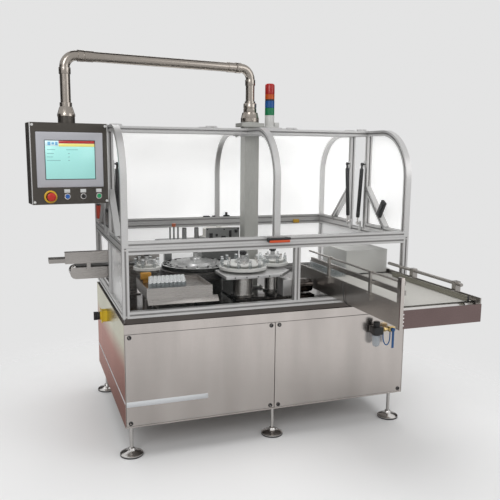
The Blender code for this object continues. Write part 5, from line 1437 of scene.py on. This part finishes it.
def make_world(pale):
    """A pale world for what is seen, reflected or shone through, and a weaker light from it."""
    world = bpy.data.worlds.new("studio")
    bpy.context.scene.world = world
    world.use_nodes = True
    tree = world.node_tree
    lit = feed(tree, tree.nodes["Background"], {"Color": WHITE, "Strength": 0.34})
    seen = node(tree, "Background", {"Color": pale, "Strength": 1.0})
    rays = node(tree, "LightPath").outputs
    straight = node(tree, "Math", {0: rays["Is Camera Ray"], 1: rays["Is Glossy Ray"]}, operation="MAXIMUM")
    shown = node(tree, "Math", {0: straight.outputs["Value"], 1: rays["Is Transmission Ray"]},
                 operation="MAXIMUM")
    blend = node(tree, "MixShader", {"Fac": shown.outputs["Value"], 1: lit.outputs["Background"],
                                     2: seen.outputs["Background"]})
    feed(tree, tree.nodes["World Output"], {"Surface": blend.outputs["Shader"]})


def make_stage():
    """Camera, pale floor with the machine's shadow, world, dark cards and soft lamps."""
    pale = (*colours().background, 1.0)
    make_camera()
    make_world(pale)
    make_floor()
    make_cards()
    for name, place, target, size, power in (
            ("key", (-4.0, -6.0, 5.2), (0.0, 0.2, 0.9), 3.6, 190.0),
            ("fill", (5.4, -5.0, 3.8), (0.0, 0.2, 0.8), 4.0, 80.0),
            ("overhead", (0.2, 0.2, 8.2), (0.2, 0.2, 0.0), 8.0, 400.0),
            ("back", (0.6, 6.5, 4.0), (0.0, 0.2, 1.0), 4.0, 60.0)):
        lamp = bpy.data.lights.new(name, "AREA")
        lamp.size = size
        lamp.energy = power
        holder = placed(name, lamp)
        holder.location = place
        holder.rotation_euler = (Vector(target) - Vector(place)).to_track_quat("-Z", "Y").to_euler()
        holder.visible_glossy = name != "overhead"


def make_cards():
    """Dark cards round the machine that only reflections meet, as flags in a photo studio."""
    look, tree, shader = new_look("card_dark")
    feed(tree, shader, {"Base Color": (0.05, 0.047, 0.045, 1.0), "Roughness": 1.0})
    quarter = math.pi / 2
    for name, place, turn, size in (
            ("left", (-4.5, 1.5, 1.5), (0.0, quarter, 0.0), (3.0, 5.0)),
            ("right", (4.5, 1.5, 1.5), (0.0, quarter, 0.0), (3.0, 5.0)),
            ("behind", (0.0, 4.5, 1.8), (quarter, 0.0, 0.0), (8.0, 3.2)),
            ("above", (0.0, 1.0, 5.0), (0.0, 0.0, 0.0), (3.0, 2.4))):
        clear_selection()
        bpy.ops.mesh.primitive_plane_add(size=1.0, location=place, rotation=turn)
        card = bpy.context.active_object
        card.scale = (*size, 1.0)
        settle(card)
        card.name = f"studio_card_{name}"
        card.data.materials.append(look)
        card.visible_camera = False
        card.visible_diffuse = False
        card.visible_transmission = False
        card.visible_shadow = False


def make_floor():
    """A wide floor disc that takes the shadow and fades into the background at its rim."""
    clear_selection()
    bpy.ops.mesh.primitive_circle_add(vertices=96, radius=9.0, fill_type="NGON",
                                      location=(0.0, 0.0, -0.0008))
    floor = settle(bpy.context.active_object)
    floor.name = "studio_floor"
    look = bpy.data.materials.new("floor_pale")
    look.use_nodes = True
    tree = look.node_tree
    tree.nodes.clear()
    matt = node(tree, "BsdfDiffuse", {"Color": (0.55, 0.55, 0.55, 1.0)})
    seen = node(tree, "BsdfDiffuse", {"Color": (0.87, 0.87, 0.87, 1.0)})
    through = node(tree, "BsdfTransparent")
    rays = node(tree, "LightPath").outputs
    lit = node(tree, "MixShader", {"Fac": rays["Is Camera Ray"], 1: matt.outputs["BSDF"],
                                   2: seen.outputs["BSDF"]})
    away = node(tree, "VectorMath", {0: node(tree, "TexCoord").outputs["Object"]}, operation="LENGTH")
    rim = node(tree, "MapRange", {"Value": away.outputs["Value"], "From Min": 1.0, "From Max": 2.3},
               interpolation_type="SMOOTHSTEP")
    faded = node(tree, "MixShader", {"Fac": rim.outputs["Result"], 1: lit.outputs["Shader"],
                                     2: through.outputs["BSDF"]})
    node(tree, "OutputMaterial", {"Surface": faded.outputs["Shader"]})
    floor.data.materials.append(look)


# Operators and panel
def finished(work, last_piece):
    """Runs one step of the making, and raises an error where its last piece is missing."""
    work()
    if last_piece not in bpy.data.objects:
        raise RuntimeError(f"{last_piece} was not made")
    return {"FINISHED"}


class LABELLER_OT_stage(bpy.types.Operator):
    """Sets the camera, floor, world and lamps"""

    bl_idname = "labeller.stage"
    bl_label = "Stage"

    def execute(self, context):
        return finished(make_stage, "studio_floor")


class LABELLER_OT_cabinet(bpy.types.Operator):
    """Finishes the cabinet, its fasteners and the table"""

    bl_idname = "labeller.cabinet"
    bl_label = "Cabinet"

    def execute(self, context):
        return finished(make_cabinet, "plain_stripe")


class LABELLER_OT_feet(bpy.types.Operator):
    """Makes the levelling feet"""

    bl_idname = "labeller.feet"
    bl_label = "Feet"

    def execute(self, context):
        return finished(make_feet, "levelling_foot_rear_right")


class LABELLER_OT_guard(bpy.types.Operator):
    """Makes the lower guard and finishes its windows"""

    bl_idname = "labeller.guard"
    bl_label = "Guard"

    def execute(self, context):
        return finished(make_guard, "guard_screws")


class LABELLER_OT_hoods(bpy.types.Operator):
    """Makes both hoods with their sheets"""

    bl_idname = "labeller.hoods"
    bl_label = "Hoods"

    def execute(self, context):
        return finished(make_hoods, "interlock_box")


class LABELLER_OT_struts(bpy.types.Operator):
    """Makes the four gas struts"""

    bl_idname = "labeller.struts"
    bl_label = "Gas struts"

    def execute(self, context):
        return finished(make_struts, "gas_strut_rear_right_cylinder")


class LABELLER_OT_arm(bpy.types.Operator):
    """Makes the arm's tube and collars"""

    bl_idname = "labeller.arm"
    bl_label = "Panel arm"

    def execute(self, context):
        return finished(make_arm, "panel_arm_tube")


class LABELLER_OT_panel(bpy.types.Operator):
    """Makes the screen and the controls"""

    bl_idname = "labeller.panel"
    bl_label = "Operator panel"

    def execute(self, context):
        return finished(make_panel, "green_cap")


class LABELLER_OT_signals(bpy.types.Operator):
    """Makes the stack light and finishes the main switch"""

    bl_idname = "labeller.signals"
    bl_label = "Signals"

    def execute(self, context):
        return finished(make_signals, "stack_lenses")


class LABELLER_OT_turntable(bpy.types.Operator):
    """Makes the carousel"""

    bl_idname = "labeller.turntable"
    bl_label = "Turntable"

    def execute(self, context):
        return finished(make_turntable, "carousel")


class LABELLER_OT_wheels(bpy.types.Operator):
    """Makes the three starwheels with their vials"""

    bl_idname = "labeller.wheels"
    bl_label = "Starwheels"

    def execute(self, context):
        return finished(make_wheels, "starwheel_infeed_set")


class LABELLER_OT_drive(bpy.types.Operator):
    """Makes the pot, pillars, plates and motor"""

    bl_idname = "labeller.drive"
    bl_label = "Wheel drive"

    def execute(self, context):
        return finished(make_drive, "wheel_drive")


class LABELLER_OT_tray(bpy.types.Operator):
    """Fills the tray with vials"""

    bl_idname = "labeller.tray"
    bl_label = "Tray"

    def execute(self, context):
        return finished(make_tray, "stop_block")


class LABELLER_OT_infeed(bpy.types.Operator):
    """Makes the infeed belt and drum"""

    bl_idname = "labeller.infeed"
    bl_label = "Infeed"

    def execute(self, context):
        return finished(make_infeed, "infeed_end_drum")


class LABELLER_OT_outfeed(bpy.types.Operator):
    """Makes the collecting belt, its drum, vials and small parts"""

    bl_idname = "labeller.outfeed"
    bl_label = "Outfeed"

    def execute(self, context):
        return finished(make_outfeed, "sensor_cable")


class LABELLER_OT_dispenser(bpy.types.Operator):
    """Makes the label dispenser's reel and fittings"""

    bl_idname = "labeller.dispenser"
    bl_label = "Dispenser"

    def execute(self, context):
        return finished(make_labeller, "dispenser_fittings")


class LABELLER_OT_air(bpy.types.Operator):
    """Makes the compressed-air set and its hose"""

    bl_idname = "labeller.air"
    bl_label = "Air set"

    def execute(self, context):
        return finished(make_air, "air_hose")


class LABELLER_OT_details(bpy.types.Operator):
    """Adds the interlocks and small devices"""

    bl_idname = "labeller.details"
    bl_label = "Details"

    def execute(self, context):
        return finished(make_details, "rear_catches")


OPERATORS = (
    LABELLER_OT_stage, LABELLER_OT_cabinet, LABELLER_OT_feet, LABELLER_OT_guard, LABELLER_OT_hoods,
    LABELLER_OT_struts, LABELLER_OT_arm, LABELLER_OT_panel, LABELLER_OT_signals,
    LABELLER_OT_turntable, LABELLER_OT_wheels, LABELLER_OT_drive, LABELLER_OT_tray,
    LABELLER_OT_infeed, LABELLER_OT_outfeed, LABELLER_OT_dispenser, LABELLER_OT_air,
    LABELLER_OT_details,
)


class LABELLER_PT_pieces(bpy.types.Panel):
    """Lists the machine's pieces in the sidebar."""

    bl_idname = "LABELLER_PT_pieces"
    bl_label = "Labelling machine"
    bl_space_type = "VIEW_3D"
    bl_region_type = "UI"
    bl_category = "Labeller"

    def draw(self, context):
        for step in OPERATORS:
            self.layout.operator(step.bl_idname)


CLASSES = [MachineSizes, MachineColours, *OPERATORS, LABELLER_PT_pieces]


def register():
    """Registers the classes and the machine's properties."""
    for item in CLASSES:
        bpy.utils.register_class(item)
    bpy.types.Scene.labeller_sizes = bpy.props.PointerProperty(type=MachineSizes)
    bpy.types.Scene.labeller_colours = bpy.props.PointerProperty(type=MachineColours)


def unregister():
    """Takes the properties and the classes out again."""
    del bpy.types.Scene.labeller_colours
    del bpy.types.Scene.labeller_sizes
    for item in reversed(CLASSES):
        bpy.utils.unregister_class(item)


def main():
    """Makes every piece in order."""
    register()
    bpy.ops.labeller.stage()
    bpy.ops.labeller.cabinet()
    bpy.ops.labeller.feet()
    bpy.ops.labeller.guard()
    bpy.ops.labeller.hoods()
    bpy.ops.labeller.struts()
    bpy.ops.labeller.arm()
    bpy.ops.labeller.panel()
    bpy.ops.labeller.signals()
    bpy.ops.labeller.turntable()
    bpy.ops.labeller.wheels()
    bpy.ops.labeller.drive()
    bpy.ops.labeller.tray()
    bpy.ops.labeller.infeed()
    bpy.ops.labeller.outfeed()
    bpy.ops.labeller.dispenser()
    bpy.ops.labeller.air()
    bpy.ops.labeller.details()


if __name__ == "__main__":
    main()
